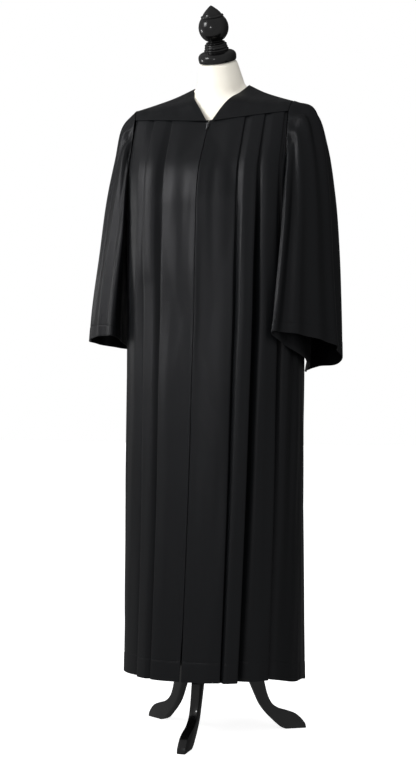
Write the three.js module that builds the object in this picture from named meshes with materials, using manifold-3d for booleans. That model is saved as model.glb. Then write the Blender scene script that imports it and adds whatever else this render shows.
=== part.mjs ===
// A judge robe worn by a limbless dress form on a three-legged wooden stand.
// Millimetres, +Z up, floor at Z = 0. The front faces -Y and the wearer's left is +X.
import * as THREE from "three";
import { mergeVertices } from "three/addons/utils/BufferGeometryUtils.js";
import Module from "manifold-3d";

const wasm = await Module();
wasm.setup();

// Driving dimensions of the robe
const CLOTH = 1.4; // wall of the robe cloth
const SEAM = 0.3; // gap between two pieces at a seam
const YOKE_SEAM = 1.1; // how far the pleats end below the yoke, which leans over them
const SHOULDER_SEAM = 0.9; // what each yoke gives up along the shoulder, where they meet at an angle
const YOKE_LIFT = 2.6; // how far the yoke edge stands out over the pleats sewn into it
const NECK_POINT = [67, 58, 1497]; // where the shoulder seam meets the neck
const SHOULDER_TIP = [190, 5, 1443]; // where the shoulder seam meets the sleeve
const V_POINT_Z = 1405; // bottom of the neckline
const V_EDGE = { left: 9, right: 4 }; // how far from the centre each yoke ends there
const FRONT_SEAM_RISE = 14; // how much higher the front yoke seam is at the sleeve
const YOKE_HALF = 185; // half width of the yoke at its seams
const BACK_SEAM_Z = 1385; // height of the back yoke seam
const UNDERARM_Z = 1185;
const HEM_FRONT_Z = 156;
const HEM_SIDE_Z = 134;
const HEM_BACK_Z = 113;

// Driving dimensions of the dress form and its stand
const CAP = { y: 28, z: 1551.4, radius: 44, tilt: 22.6 }; // top of the neck
const TORSO_BOTTOM = 740;
const STAND_X = -6; // the form sits this far off the pole
const POLE_RADIUS = 16;
const HUB_RADIUS = 22;
const HUB_Z = [188, 330];
const LEG_THICK = 20;
const LEG_TURNS = { leg_front: 2.7, leg_left: 122.7, leg_right: -120 }; // from straight ahead

const COLOURS = {
  cloth: { color: 0x0b0b0d, roughness: 0.55, metalness: 0 },
  tape: { color: 0x09090a, roughness: 0.8, metalness: 0 },
  zip: { color: 0x8c8c90, roughness: 0.3, metalness: 1 },
  cover: { color: 0xf4ecdc, roughness: 0.85, metalness: 0 },
  lacquer: { color: 0x070708, roughness: 0.25, metalness: 0 },
};

// The outline of the robe body at each height: centre front and back, middle, half width
// and how square the front and the back are (2 is an ellipse).
const BODY = [
  { z: 1425, front: -23, back: 108, middle: 22, half: 206, square: 5.0, squareBack: 2.6 },
  { z: 1350, front: -60, back: 139, middle: 20, half: 206, square: 4.0, squareBack: 2.5 },
  { z: 1283, front: -91, back: 148, middle: 16, half: 206, square: 3.3, squareBack: 2.4 },
  { z: 1180, front: -104, back: 149, middle: 8, half: 206, square: 2.8, squareBack: 2.3 },
  { z: 1063, front: -117, back: 152, middle: 4, half: 205, square: 2.5, squareBack: 2.4 },
  { z: 948, front: -125, back: 154, middle: 4, half: 204, square: 2.3, squareBack: 2.4 },
  { z: 811, front: -142, back: 162, middle: 4, half: 203, square: 2.1, squareBack: 2.3 },
  { z: 545, front: -167, back: 182, middle: 0, half: 203, square: 2, squareBack: 2.1 },
  { z: 280, front: -198, back: 206, middle: 0, half: 203, square: 2, squareBack: 2 },
  { z: 100, front: -222, back: 224, middle: 0, half: 203, square: 2, squareBack: 2 },
];

// The knife pleats of each front: distance of the fold from the centre front at the yoke and
// at the hem, how far it stands up there, and how far it tucks back under.
const PLEATS = [
  { top: 87, hem: 85, liftTop: 4.2, liftHem: 8, tuck: 15 },
  { top: 133, hem: 131, liftTop: 4.2, liftHem: 14, tuck: 20 },
  { top: 177, hem: 194, liftTop: 4.2, liftHem: 7, tuck: 17 },
];
const ROLLED_EDGE = [
  { from: 0.7, drop: -2.5 },
  { from: 3, drop: -0.7 },
  { from: 8, drop: 0 },
];
const FLUTES = 11; // soft flutes across the back
const FLUTE_TOP = 2.2;
const FLUTE_HEM = 10;

// The sleeves, section by section from the head to the hem: the outermost, front, innermost
// and back points of each section. X is measured away from the middle of the robe.
const LEFT_SLEEVE = [
  { outer: [238, 8, 1426], front: [192, -60, 1285], inner: [214, 12, 1150], back: [202, 112, 1262] },
  { outer: [262, 10, 1352], front: [193, -78, 1228], inner: [216, 12, 1110], back: [206, 126, 1210] },
  { outer: [276, 12, 1235], front: [193, -94, 1150], inner: [218, 12, 1060], back: [209, 136, 1135] },
  { outer: [283, 14, 1090], front: [189, -111, 1045], inner: [219, 12, 1000], back: [209, 143, 1025] },
  { outer: [289, 16, 970], front: [186, -124, 968], inner: [220, 12, 935], back: [207, 147, 915] },
  { outer: [293, 18, 884], front: [183, -132, 918], inner: [220, 12, 872], back: [204, 149, 835] },
];
const RIGHT_SLEEVE = [
  { outer: [226, 4, 1408], front: [191, -58, 1285], inner: [214, 12, 1150], back: [202, 110, 1262] },
  { outer: [246, 2, 1330], front: [194, -71, 1225], inner: [216, 12, 1110], back: [210, 120, 1210] },
  { outer: [267, 0, 1238], front: [198, -78, 1150], inner: [218, 12, 1062], back: [216, 126, 1140] },
  { outer: [285, -4, 1098], front: [206, -90, 1050], inner: [219, 12, 1002], back: [221, 128, 1032] },
  { outer: [298, -8, 985], front: [211, -98, 968], inner: [220, 10, 945], back: [225, 124, 945] },
  { outer: [305, -10, 902], front: [213, -102, 914], inner: [220, 8, 893], back: [227, 119, 882] },
];
// The folds that run down a sleeve: where they lie round it at the head and at the hem
// (0 outermost, 0.25 front, 0.5 innermost), how wide they are, and how far they stand out.
const LEFT_FOLDS = [
  { head: 0.165, hem: 0.185, width: 0.026, headLift: -6, hemLift: -11 },
  { head: 0.115, hem: 0.12, width: 0.024, headLift: -4, hemLift: -5 },
  { head: 0.06, hem: 0.055, width: 0.02, headLift: -8, hemLift: -4 },
  { head: 0.99, hem: 0.985, width: 0.024, headLift: -6, hemLift: -8 },
  { head: 0.94, hem: 0.94, width: 0.05, headLift: 0, hemLift: 9 },
  { head: 0.91, hem: 0.9, width: 0.026, headLift: -6, hemLift: -10 },
  { head: 0.83, hem: 0.82, width: 0.024, headLift: -4, hemLift: -7 },
];
const RIGHT_FOLDS = [
  { head: 0.2, hem: 0.2, width: 0.022, headLift: -4, hemLift: -4 },
  { head: 0.12, hem: 0.095, width: 0.024, headLift: -6, hemLift: -3 },
  { head: 0.06, hem: 0.035, width: 0.024, headLift: -5, hemLift: -7 },
  { head: 0.99, hem: 0.97, width: 0.024, headLift: -5, hemLift: -8 },
  { head: 0.91, hem: 0.89, width: 0.026, headLift: -5, hemLift: -9 },
  { head: 0.83, hem: 0.82, width: 0.024, headLift: -4, hemLift: -6 },
];
const LEFT_CLEAR = 16; // how far each sleeve stays off the front of the body
const RIGHT_CLEAR = 12;
const GATHERS = 20; // small gathers all round the sleeve head
const GATHER_HEIGHT = 1.6;
const GATHER_REACH = 0.34; // share of the sleeve's length over which they fade out

// The dress form, section by section: middle, half width, half depth, how square it is, how
// far its shoulders slope forward, the radius of the neck rising through it, and its tilt.
const FORM = [
  { z: TORSO_BOTTOM, y: 18, half: 156, depth: 98, square: 2.3, forward: 0, neck: 0, tilt: 0 },
  { z: 756, y: 18, half: 163, depth: 104, square: 2.3, forward: 0, neck: 0, tilt: 0 },
  { z: 850, y: 17, half: 166, depth: 106, square: 2.2, forward: 0, neck: 0, tilt: 0 },
  { z: 960, y: 20, half: 144, depth: 92, square: 2.2, forward: 0, neck: 0, tilt: 0 },
  { z: 1050, y: 24, half: 128, depth: 84, square: 2.2, forward: 0, neck: 0, tilt: 0 },
  { z: 1150, y: 30, half: 138, depth: 94, square: 2.2, forward: 0, neck: 0, tilt: 0 },
  { z: 1250, y: 34, half: 152, depth: 101, square: 2.3, forward: 0, neck: 0, tilt: 0 },
  { z: 1330, y: 40, half: 160, depth: 90, square: 2.5, forward: 0.05, neck: 0, tilt: 0 },
  { z: 1395, y: 46, half: 168, depth: 73, square: 2.5, forward: 0.15, neck: 0, tilt: 0 },
  { z: 1430, y: 50, half: 170, depth: 66, square: 2.2, forward: 0.35, neck: 52, tilt: 0 },
  { z: 1450, y: 50, half: 167, depth: 60, square: 2, forward: 0.43, neck: 52, tilt: 1 },
  { z: 1462, y: 50, half: 150, depth: 48, square: 2, forward: 0.43, neck: 53, tilt: 2 },
  { z: 1474, y: 51, half: 120, depth: 22, square: 2, forward: 0.43, neck: 55, tilt: 3 },
  { z: 1485, y: 54, half: 86, depth: 4, square: 2, forward: 0.43, neck: 56.5, tilt: 5 },
  { z: 1498, y: 50, half: 52, depth: 20, square: 2, forward: 0, neck: 56.5, tilt: 9 },
  { z: 1512, y: 45, half: 40, depth: 40, square: 2, forward: 0, neck: 53, tilt: 13 },
  { z: 1530, y: 38, half: 40, depth: 40, square: 2, forward: 0, neck: 48.5, tilt: 18 },
  { z: CAP.z, y: CAP.y, half: 30, depth: 30, square: 2, forward: 0, neck: CAP.radius, tilt: CAP.tilt },
];

// The turned neck cap, from its foot to its point: height along its axis and radius.
const CAP_BASE = [[0, 0], [0, 42.6], [1.6, 43.6], [8, 44.4], [14, 44], [19, 40.5], [22, 35], [23, 27.5]];
const CAP_RINGS = [[24, 27.5], [26.5, 28.8], [29, 27.6], [29.8, 25.6], [32, 27], [35, 26]];
const CAP_NECK = [[36, 25], [38, 26], [40.5, 24.4], [41.5, 21], [43.5, 22.2], [45, 19], [47, 16.6]];
const CAP_BALL = { middle: 77, radius: 34.8, from: 49.5, to: 100.5 };
const CAP_POINT = [[101, 25], [102.5, 26.2], [105, 26], [106, 21.6], [109.5, 20.4], [114, 16.6], [127.5, 0]];

// One leg seen from its side: distance from the pole and height, down the outer edge and
// back up the inner edge.
const LEG_OUTER = [[56, 262], [84, 222], [106, 180], [118, 142], [126, 106], [133, 80], [143, 61], [160, 48]];
const LEG_FOOT = [[184, 40], [205, 31], [217, 19], [225, 0], [176, 0]];
const LEG_INNER = [[152, 15], [131, 36], [115, 57], [103, 82], [91, 110], [78, 140], [60, 168], [42, 188]];

// Small helpers
const mix = (a, b, t) => a + (b - a) * t;
const clamp01 = (t) => Math.min(1, Math.max(0, t));
const smooth = (t) => clamp01(t) ** 2 * (3 - 2 * clamp01(t));
const range = (n) => Array.from({ length: n }, (_, i) => i);
const vec = (p) => new THREE.Vector3(...p);
const mirrored = (p, side) => [p[0] * side, p[1], p[2]];
const finish = (name) => new THREE.MeshStandardMaterial(COLOURS[name]);

function named(name, geometry, material) {
  const mesh = new THREE.Mesh(geometry, finish(material));
  mesh.name = name;
  return mesh;
}

// A row of a table at any height, with smooth steps between the rows.
function rowAt(table, z) {
  let i = 0;
  while (i < table.length - 2 && z < table[i + 1].z) i += 1;
  const row = {};
  const t = (z - table[i].z) / (table[i + 1].z - table[i].z);
  const before = table[Math.max(0, i - 1)];
  const after = table[Math.min(table.length - 1, i + 2)];
  for (const key of Object.keys(table[i])) {
    const [a, b] = [table[i][key], table[i + 1][key]];
    const gap = table[i + 1].z - table[i].z;
    const slopeA = i ? ((b - before[key]) / (table[i + 1].z - before.z)) * gap : b - a;
    const slopeB = after !== table[i + 1] ? ((after[key] - a) / (after.z - table[i].z)) * gap : b - a;
    const [t2, t3] = [t * t, t * t * t];
    row[key] =
      (2 * t3 - 3 * t2 + 1) * a + (t3 - 2 * t2 + t) * slopeA + (3 * t2 - 2 * t3) * b + (t3 - t2) * slopeB;
  }
  return row;
}

// A point of the body outline. turn is 0 at the centre front, a quarter at the side seam
// and a half at the centre back.
function outlinePoint(row, turn) {
  const [s, c] = [Math.sin(turn * 2 * Math.PI), Math.cos(turn * 2 * Math.PI)];
  const front = c >= 0;
  const power = 2 / (front ? row.square : row.squareBack);
  const depth = front ? row.middle - row.front : row.back - row.middle;
  return [
    row.half * Math.sign(s) * Math.abs(s) ** power,
    row.middle - depth * Math.sign(c) * Math.abs(c) ** power,
  ];
}

// The outline at one height as a run of points with their distance from the centre front
// (from the centre back when back is true), out to the side seam.
const outlines = new Map();
function outline(z, back) {
  const key = Math.round(z * 50) * 2 + (back ? 1 : 0);
  if (!outlines.has(key)) {
    const row = rowAt(BODY, z);
    const steps = 160;
    let travelled = 0;
    let last = null;
    const run = range(steps + 1).map((i) => {
      const turn = back ? 0.5 - (0.25 * i) / steps : (0.25 * i) / steps;
      const p = outlinePoint(row, turn);
      if (last) travelled += Math.hypot(p[0] - last[0], p[1] - last[1]);
      last = p;
      return { p, s: travelled };
    });
    outlines.set(key, run);
  }
  return outlines.get(key);
}
const quarterLength = (z, back) => outline(z, back).at(-1).s;

// The point of the robe body s millimetres round from its centre line at height z, stood
// out from the plain outline by lift.
function bodyPoint(s, z, lift, side, back = false) {
  const run = outline(z, back);
  const distance = Math.min(Math.abs(s), run.at(-1).s);
  let low = 0;
  let high = run.length - 1;
  while (high - low > 1) {
    const half = (low + high) >> 1;
    if (run[half].s <= distance) low = half;
    else high = half;
  }
  const [a, b] = [run[low], run[high]];
  const t = (distance - a.s) / (b.s - a.s);
  const length = Math.hypot(b.p[0] - a.p[0], b.p[1] - a.p[1]);
  const tangent = [(b.p[0] - a.p[0]) / length, (b.p[1] - a.p[1]) / length];
  const out = back ? [-tangent[1], tangent[0]] : [tangent[1], -tangent[0]];
  const x = mix(a.p[0], b.p[0], t) + out[0] * lift;
  const y = mix(a.p[1], b.p[1], t) + out[1] * lift;
  return [x * side, y, z];
}

// Moves a point out of the robe body, sideways, until it is clear of it by margin.
function clearOfBody(p, margin) {
  const row = rowAt(BODY, p.z);
  const y = p.y - row.middle;
  const front = y < 0;
  const power = front ? row.square : row.squareBack;
  const depth = front ? row.middle - row.front : row.back - row.middle;
  const reach = (Math.abs(p.x / row.half) ** power + Math.abs(y / depth) ** power) ** (1 / power);
  const grow = Math.max(1, (1 + margin / Math.hypot(p.x, y)) / reach);
  p.x *= grow;
  p.y = row.middle + y * grow;
}

const frontSeamZ = (s) => V_POINT_Z + FRONT_SEAM_RISE * clamp01(s / YOKE_HALF);

// The armhole edge of the front and the back: 0 at the yoke, 1 at the underarm.
function armholeEdge(t, back) {
  const angle = (t * Math.PI) / 2;
  const top = back ? BACK_SEAM_Z : frontSeamZ(YOKE_HALF);
  return {
    z: mix(top, UNDERARM_Z, Math.sin(angle)),
    share: 1 - Math.cos(angle),
  };
}
// Its distance round from the centre line, and the point itself.
function armholeDistance(t, back) {
  const edge = armholeEdge(t, back);
  const start = back ? backYokeHalf() : YOKE_HALF;
  return { z: edge.z, s: mix(start, quarterLength(UNDERARM_Z, back), edge.share) };
}
function backYokeHalf() {
  const run = outline(BACK_SEAM_Z, true);
  return run.find((o) => o.p[0] >= YOKE_HALF).s;
}

// A point of the panel below the armhole, with its own level direction across the wall: t is 0
// at the panel's inner part and 1 at the side seam, v is 0 at the armhole edge and 1 at the hem.
function sidePoint(t, v, inner, hem, side, back) {
  const edge = armholeDistance(t, back);
  const start = armholeDistance(0, back).s;
  const z = mix(edge.z - YOKE_SEAM, hem, v);
  const shareTop = (edge.s - start) / (quarterLength(edge.z, back) - start);
  const end = quarterLength(z, back) - SEAM / 2;
  const s = mix(inner, end, mix(shareTop, t, v));
  const [p, out] = [bodyPoint(s, z, 0, side, back), bodyPoint(s, z, back ? 1 : -side, side, back)];
  return [...p, out[0] - p[0], out[1] - p[1]];
}

// A closed wall through a grid of points, rows of equal length, with the given distances
// to its inner and outer face. With closed true each row is a ring. A point may bring its own
// level direction across the wall as two more numbers.
function wall(grid, inner, outer, closed = false) {
  const rows = grid.length;
  const columns = grid[0].length;
  const at = (j, i) => {
    const column = closed ? (i + columns) % columns : Math.min(columns - 1, Math.max(0, i));
    return vec(grid[Math.min(rows - 1, Math.max(0, j))][column]);
  };
  const faces = [[], []];
  for (let j = 0; j < rows; j += 1) {
    for (let i = 0; i < columns; i += 1) {
      const before = at(j, i).sub(at(j, i - 1));
      const behind = at(j, i + 1).sub(at(j, i));
      for (const step of [before, behind]) if (step.lengthSq() > 0) step.normalize();
      const along = before.add(behind);
      const down = at(j + 1, i).sub(at(j - 1, i));
      const [x, y, z, across, ahead] = grid[j][i];
      const normal = (across === undefined ? along.cross(down) : vec([across, ahead, 0])).normalize();
      const p = vec([x, y, z]);
      faces[0].push(p.clone().addScaledVector(normal, outer));
      faces[1].push(p.clone().addScaledVector(normal, inner));
    }
  }
  const index = [];
  const count = rows * columns;
  const points = [...faces[0], ...faces[1]];
  // Each quad is cut along its shorter diagonal.
  const quad = (a, b, c, d) => {
    const level = points[a].distanceTo(points[c]) <= points[b].distanceTo(points[d]);
    index.push(...(level ? [a, b, c, a, c, d] : [b, c, d, b, d, a]));
  };
  const last = closed ? columns : columns - 1;
  for (let j = 0; j < rows - 1; j += 1) {
    for (let i = 0; i < last; i += 1) {
      const next = (i + 1) % columns;
      const [a, d] = [j * columns + i, j * columns + next];
      const [b, c] = [a + columns, d + columns];
      quad(a, b, c, d);
      quad(count + a, count + d, count + c, count + b);
    }
  }
  for (let i = 0; i < last; i += 1) {
    const next = (i + 1) % columns;
    const low = (rows - 1) * columns;
    quad(i, next, count + next, count + i);
    quad(low + next, low + i, count + low + i, count + low + next);
  }
  if (!closed) {
    for (let j = 0; j < rows - 1; j += 1) {
      const [a, b] = [j * columns, (j + 1) * columns];
      quad(a, count + a, count + b, b);
      quad(b + columns - 1, count + b + columns - 1, count + a + columns - 1, a + columns - 1);
    }
  }
  const geometry = new THREE.BufferGeometry();
  const flat = points.flatMap((p) => p.toArray());
  geometry.setAttribute("position", new THREE.Float32BufferAttribute(flat, 3));
  geometry.setIndex(index);
  if (signedVolume(geometry) < 0) {
    for (let i = 0; i < index.length; i += 3) [index[i + 1], index[i + 2]] = [index[i + 2], index[i + 1]];
    geometry.setIndex(index);
  }
  return geometry;
}

function signedVolume(geometry) {
  const p = geometry.getAttribute("position");
  const index = geometry.getIndex().array;
  const corners = [new THREE.Vector3(), new THREE.Vector3(), new THREE.Vector3()];
  let volume = 0;
  for (let i = 0; i < index.length; i += 3) {
    corners.forEach((c, k) => c.fromBufferAttribute(p, index[i + k]));
    volume += corners[0].dot(corners[1].clone().cross(corners[2])) / 6;
  }
  return volume;
}

const clothWall = (grid, closed) => wall(grid, -CLOTH / 2, CLOTH / 2, closed);

// One front of the robe
// Each column of the cloth: its distance from the centre front and how far it stands out,
// both at the yoke and at the hem.
function frontColumns() {
  const columns = ROLLED_EDGE.map(({ from, drop }) => ({
    top: from, hem: from, liftTop: drop, liftHem: drop,
  }));
  let start = { top: 8, hem: 8 };
  let covered = 0; // how far the cloth stays flat, under the last fold
  PLEATS.forEach((pleat, k) => {
    // The cloth rises from where it comes out from under the last fold to where its own fold
    // is tucked under it.
    const across = (key, rise) => mix(start[key] + covered, pleat[key] - 1.2 * pleat.tuck - 1, rise);
    for (const rise of k ? [0, 0.5, 1] : [0.25, 0.5, 0.75, 1]) {
      columns.push({
        top: across("top", rise), hem: across("hem", rise),
        liftTop: pleat.liftTop * smooth(rise), liftHem: pleat.liftHem * smooth(rise),
      });
    }
    const bend = (distance, quarters, out) => columns.push({
      top: pleat.top - distance + (out * pleat.liftTop) / 4,
      hem: pleat.hem - distance + (out * pleat.liftHem) / 4,
      liftTop: (pleat.liftTop * quarters) / 4, liftHem: (pleat.liftHem * quarters) / 4,
    });
    bend(0.6 * pleat.tuck, 4, 0);
    bend(0, 4, 0);
    bend(0, 3, 1);
    bend(0, 2, 0);
    bend(0.5 * pleat.tuck, 2, 0);
    bend(pleat.tuck, 2, 0);
    bend(pleat.tuck, 1, -1);
    bend(pleat.tuck, 0, 0);
    start = { top: pleat.top - pleat.tuck, hem: pleat.hem - pleat.tuck };
    covered = pleat.tuck + 3;
  });
  return { columns, start };
}

function hemZ(share, back) {
  return mix(back ? HEM_BACK_Z : HEM_FRONT_Z, HEM_SIDE_Z, smooth((share - 0.55) / 0.45));
}

const ROWS = 13;
const rowShare = (j) => (j / (ROWS - 1)) ** 1.15; // closer together near the yoke

function frontPanel(side) {
  const { columns, start } = frontColumns();
  const underSteps = 2;
  const sideSteps = 5;
  const grid = range(ROWS).map((j) => {
    const v = rowShare(j);
    const points = columns.map((c) => {
      const top = frontSeamZ(c.top) - YOKE_SEAM;
      const z = mix(top, hemZ(c.hem / quarterLength(HEM_SIDE_Z), false), v);
      const opened = smooth(v * 1.6);
      return bodyPoint(mix(c.top, c.hem, v), z, mix(c.liftTop, c.liftHem, opened), side);
    });
    for (let i = 1; i < underSteps; i += 1) {
      const t = i / underSteps;
      const top = { s: mix(start.top, YOKE_HALF, t), z: frontSeamZ(YOKE_HALF) - YOKE_SEAM };
      const hem = start.hem + 30 * t;
      const z = mix(top.z, hemZ(hem / quarterLength(HEM_SIDE_Z), false), v);
      points.push(bodyPoint(mix(top.s, hem, v), z, 0, side));
    }
    const inner = mix(YOKE_HALF, start.hem + 30, v);
    for (let i = 0; i <= sideSteps; i += 1) {
      const t = i / sideSteps;
      const hemEnd = quarterLength(HEM_SIDE_Z);
      const hem = mix(start.hem + 30, hemEnd, t) / hemEnd;
      points.push(sidePoint(t, v, inner, hemZ(hem, false), side, false));
    }
    return points;
  });
  return named(side > 0 ? "front_left" : "front_right", clothWall(grid), "cloth");
}

// The back of the robe, fluted under its yoke
function backPanel() {
  const yokeHalf = backYokeHalf();
  const sideSteps = 5;
  const perFlute = 4;
  const across = range(FLUTES * perFlute - 1).map((i) => (2 * (i + 1)) / (FLUTES * perFlute) - 1);
  const sides = range(sideSteps + 1).map((i) => 1 - i / sideSteps);
  const grid = range(ROWS).map((j) => {
    const v = rowShare(j);
    const inner = mix(yokeHalf, quarterLength(HEM_BACK_Z, true) * 0.8, v);
    const sideColumn = (t, side) => sidePoint(t, v, inner, hemZ(mix(0.8, 1, t), true), side, true);
    const middle = across.map((u) => {
      const end = quarterLength(HEM_BACK_Z, true) * 0.8;
      const z = mix(BACK_SEAM_Z - YOKE_SEAM, hemZ(Math.abs(u) * 0.8, true), v);
      const wave = 0.5 + 0.5 * Math.cos(u * FLUTES * Math.PI);
      const lift = mix(FLUTE_TOP, FLUTE_HEM, smooth(v * 1.3)) * wave * smooth((1 - Math.abs(u)) * 6);
      return bodyPoint(mix(Math.abs(u) * yokeHalf, Math.abs(u) * end, v), z, lift, Math.sign(u) || 1, true);
    });
    const right = sides.map((t) => sideColumn(t, -1));
    const left = sides.toReversed().map((t) => sideColumn(t, 1));
    return [...right, ...middle, ...left];
  });
  return named("back", clothWall(grid), "cloth");
}

// The yokes
const curve = (points) => new THREE.CatmullRomCurve3(points.map(vec), false, "centripetal");
const shoulder = curve([NECK_POINT, [110, 39, 1474], [154, 20, 1456], SHOULDER_TIP]);
const NECKLINE = [[27, -21, 1436], [38, -14, 1451], [46, -3, 1461], [56, 21, 1474], NECK_POINT];
const BACK_NECK = [NECK_POINT, [50, 96, 1502], [0, 115, 1504]];

// A surface between four edges: near and far run along u, left and right along v.
function patch(near, far, left, right, us, vs) {
  return vs.map((v) => us.map((u) => {
    const p = new THREE.Vector3();
    p.addScaledVector(near(u), 1 - v).addScaledVector(far(u), v);
    p.addScaledVector(left(v), 1 - u).addScaledVector(right(v), u);
    p.addScaledVector(near(0), -(1 - u) * (1 - v)).addScaledVector(near(1), -u * (1 - v));
    p.addScaledVector(far(0), -(1 - u) * v).addScaledVector(far(1), -u * v);
    return p.toArray();
  }));
}
const steps = (n, from = 0, to = 1) => range(n + 1).map((i) => mix(from, to, i / n));

function frontYokeGrid(side) {
  const seam = (u) => {
    const s = mix(side > 0 ? V_EDGE.left : V_EDGE.right, YOKE_HALF, u);
    return vec(bodyPoint(s, frontSeamZ(s), YOKE_LIFT, 1));
  };
  const neckline = curve([seam(0).toArray(), ...NECKLINE]);
  const sleeveEdge = curve([seam(1).toArray(), [189, -9, 1438], SHOULDER_TIP]);
  const grid = patch(
    seam, (u) => shoulder.getPointAt(u), (v) => neckline.getPointAt(v), (v) => sleeveEdge.getPointAt(v),
    steps(9), steps(6),
  );
  return grid.map((row) => row.map((p) => mirrored(p, side)));
}

// The back yoke from one shoulder seam to the other, its first row along the neck.
function backYokeGrid() {
  const yokeHalf = backYokeHalf();
  const seam = (u) => vec(bodyPoint(mix(0, yokeHalf, u), BACK_SEAM_Z, YOKE_LIFT, 1, true));
  const neck = curve(BACK_NECK.toReversed());
  const tip = vec(SHOULDER_TIP);
  const sleeveEdge = curve([SHOULDER_TIP, [190, 44, 1425], seam(1).toArray()]);
  // From the centre back the top edge runs round the neck and then down the shoulder.
  const top = (u) => (u < 0.4 ? neck.getPointAt(u / 0.4) : shoulder.getPointAt((u - 0.4) / 0.6));
  const middle = curve([BACK_NECK.at(-1), [0, 122, 1450], seam(0).toArray()]);
  const us = [...steps(4, 0, 0.4), ...steps(6, 0.4, 1).slice(1)];
  const half = patch(top, seam, (v) => middle.getPointAt(v), (v) => sleeveEdge.getPointAt(v), us, steps(6));
  return half.map((row) => [...row.slice(1).toReversed().map((p) => mirrored(p, -1)), ...row]);
}

// Takes a strip as wide as half a seam off the shoulder edge of a yoke.
function eased(grid, rowIndex, towards, gap) {
  const copy = grid.map((row) => row.map((p) => [...p]));
  copy[rowIndex] = copy[rowIndex].map((p, i) => {
    const step = vec(grid[towards][i]).sub(vec(p));
    return vec(p).addScaledVector(step.normalize(), gap).toArray();
  });
  return copy;
}

// The same grid with its rows as columns.
const turned = (grid) => grid[0].map((_, i) => grid.map((row) => row[i]));

function frontYoke(side) {
  const grid = eased(frontYokeGrid(side), 6, 5, SHOULDER_SEAM);
  return named(side > 0 ? "front_yoke_left" : "front_yoke_right", clothWall(grid), "cloth");
}
const backYoke = () => named("back_yoke", clothWall(eased(backYokeGrid(), 0, 1, SHOULDER_SEAM)), "cloth");

// The sleeves
// The armhole as a loop: 0 at the shoulder tip, forward and down to 0.5 at the underarm,
// and up the back.
function armholeLoop() {
  const half = (back) => {
    const start = armholeDistance(0, back);
    const yokeCorner = bodyPoint(start.s, start.z, YOKE_LIFT, 1, back);
    const edge = steps(14).map((t) => {
      const { s, z } = armholeDistance(t, back);
      return bodyPoint(s, z, mix(YOKE_LIFT, 0, clamp01(t * 5)), 1, back);
    });
    const upper = back ? [[190, 44, 1425]] : [[189, -9, 1438]];
    return curve([SHOULDER_TIP, ...upper, yokeCorner, ...edge.slice(1)]);
  };
  const [front, back] = [half(false), half(true)];
  return (turn) => (turn <= 0.5 ? front.getPointAt(turn * 2) : back.getPointAt(2 - turn * 2));
}

function sleeve(name, side, sections, folds, clearAhead) {
  const loop = armholeLoop();
  const around = 40;
  const turns = range(around).map((i) => i / around);
  const guides = ["outer", "front", "inner", "back"].map((key, k) =>
    curve([loop(k / 4).toArray(), ...sections.map((row) => row[key])]));
  // The section at t as a loop through its four guide points.
  const sectionAt = (t) => {
    const points = guides.map((g) => g.getPoint(t));
    const ring = new THREE.CatmullRomCurve3(points, true, "catmullrom", 0.62);
    return (turn) => ring.getPoint(turn);
  };
  const head = sectionAt(0);
  const foldLift = (turn, t) => {
    const waves = folds.reduce((sum, fold) => {
      const gap = Math.abs(turn - mix(fold.head, fold.hem, t));
      const near = Math.min(gap, 1 - gap) / fold.width;
      return sum + mix(fold.headLift, fold.hemLift, smooth(t * 1.5)) * Math.exp(-near * near);
    }, 0);
    const gathers = GATHER_HEIGHT * Math.cos(turn * GATHERS * 2 * Math.PI) * smooth(1 - t / GATHER_REACH);
    return (waves + gathers) * smooth(t * 9);
  };
  const rows = [0, 0.02, 0.055, 0.11, 0.18, 0.27, 0.38, 0.5, 0.63, 0.76, 0.88, 1];
  const grid = rows.map((t) => {
    const section = sectionAt(t);
    const sum = turns.reduce((total, turn) => total.add(section(turn)), new THREE.Vector3());
    const middle = sum.divideScalar(around);
    return turns.map((turn) => {
      const p = section(turn);
      const fade = (1 - smooth(t / 0.3)) ** 1.5;
      p.addScaledVector(loop(turn).sub(head(turn)), fade);
      const ahead = section((turn + 0.01) % 1).sub(section((turn + 0.99) % 1));
      const down = sectionAt(Math.min(1, t + 0.02))(turn).sub(sectionAt(Math.max(0, t - 0.02))(turn));
      const out = ahead.cross(down).normalize();
      if (out.dot(p.clone().sub(middle)) < 0) out.negate();
      p.addScaledVector(out, foldLift(turn, t));
      const margin = mix(2.4, p.y < 0 ? clearAhead : 9, smooth(t * 2.5));
      if (t && p.z < BACK_SEAM_Z) clearOfBody(p, margin * smooth((BACK_SEAM_Z - p.z) / 60));
      p.x += 2.1 * (1 - smooth(t * 6)); // the seam lies just outside the armhole
      return mirrored(p.toArray(), side);
    });
  });
  return named(name, clothWall(grid, true), "cloth");
}

// The zip down the centre front
const ZIP = { top: 1396, bottom: 300, width: 24, tape: 1.2, behind: -4.2 };
function zipTape() {
  const beside = range(ROWS).map((j) => mix(frontSeamZ(0), HEM_FRONT_Z, rowShare(j)));
  const levels = [ZIP.top, ...beside.filter((z) => z < ZIP.top - 9 && z > ZIP.bottom + 9), ZIP.bottom];
  const grid = levels.map((z) => {
    return [-1, 0, 1].map((side) => bodyPoint((Math.abs(side) * ZIP.width) / 2, z, ZIP.behind, side || 1));
  });
  return named("zip_tape", wall(grid, -ZIP.tape / 2, ZIP.tape / 2), "tape");
}

const SLIDER = { z: 1391, width: 7.6, height: 10, thick: 2, gap: -0.1 };
const EAR = { thick: 1.2, reach: 2.6, height: 3 };
const PULL = { width: 3.6, length: 15, thick: 1.2, barrel: 1.1 };
const EAR_GAP = 0.25;
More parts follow.
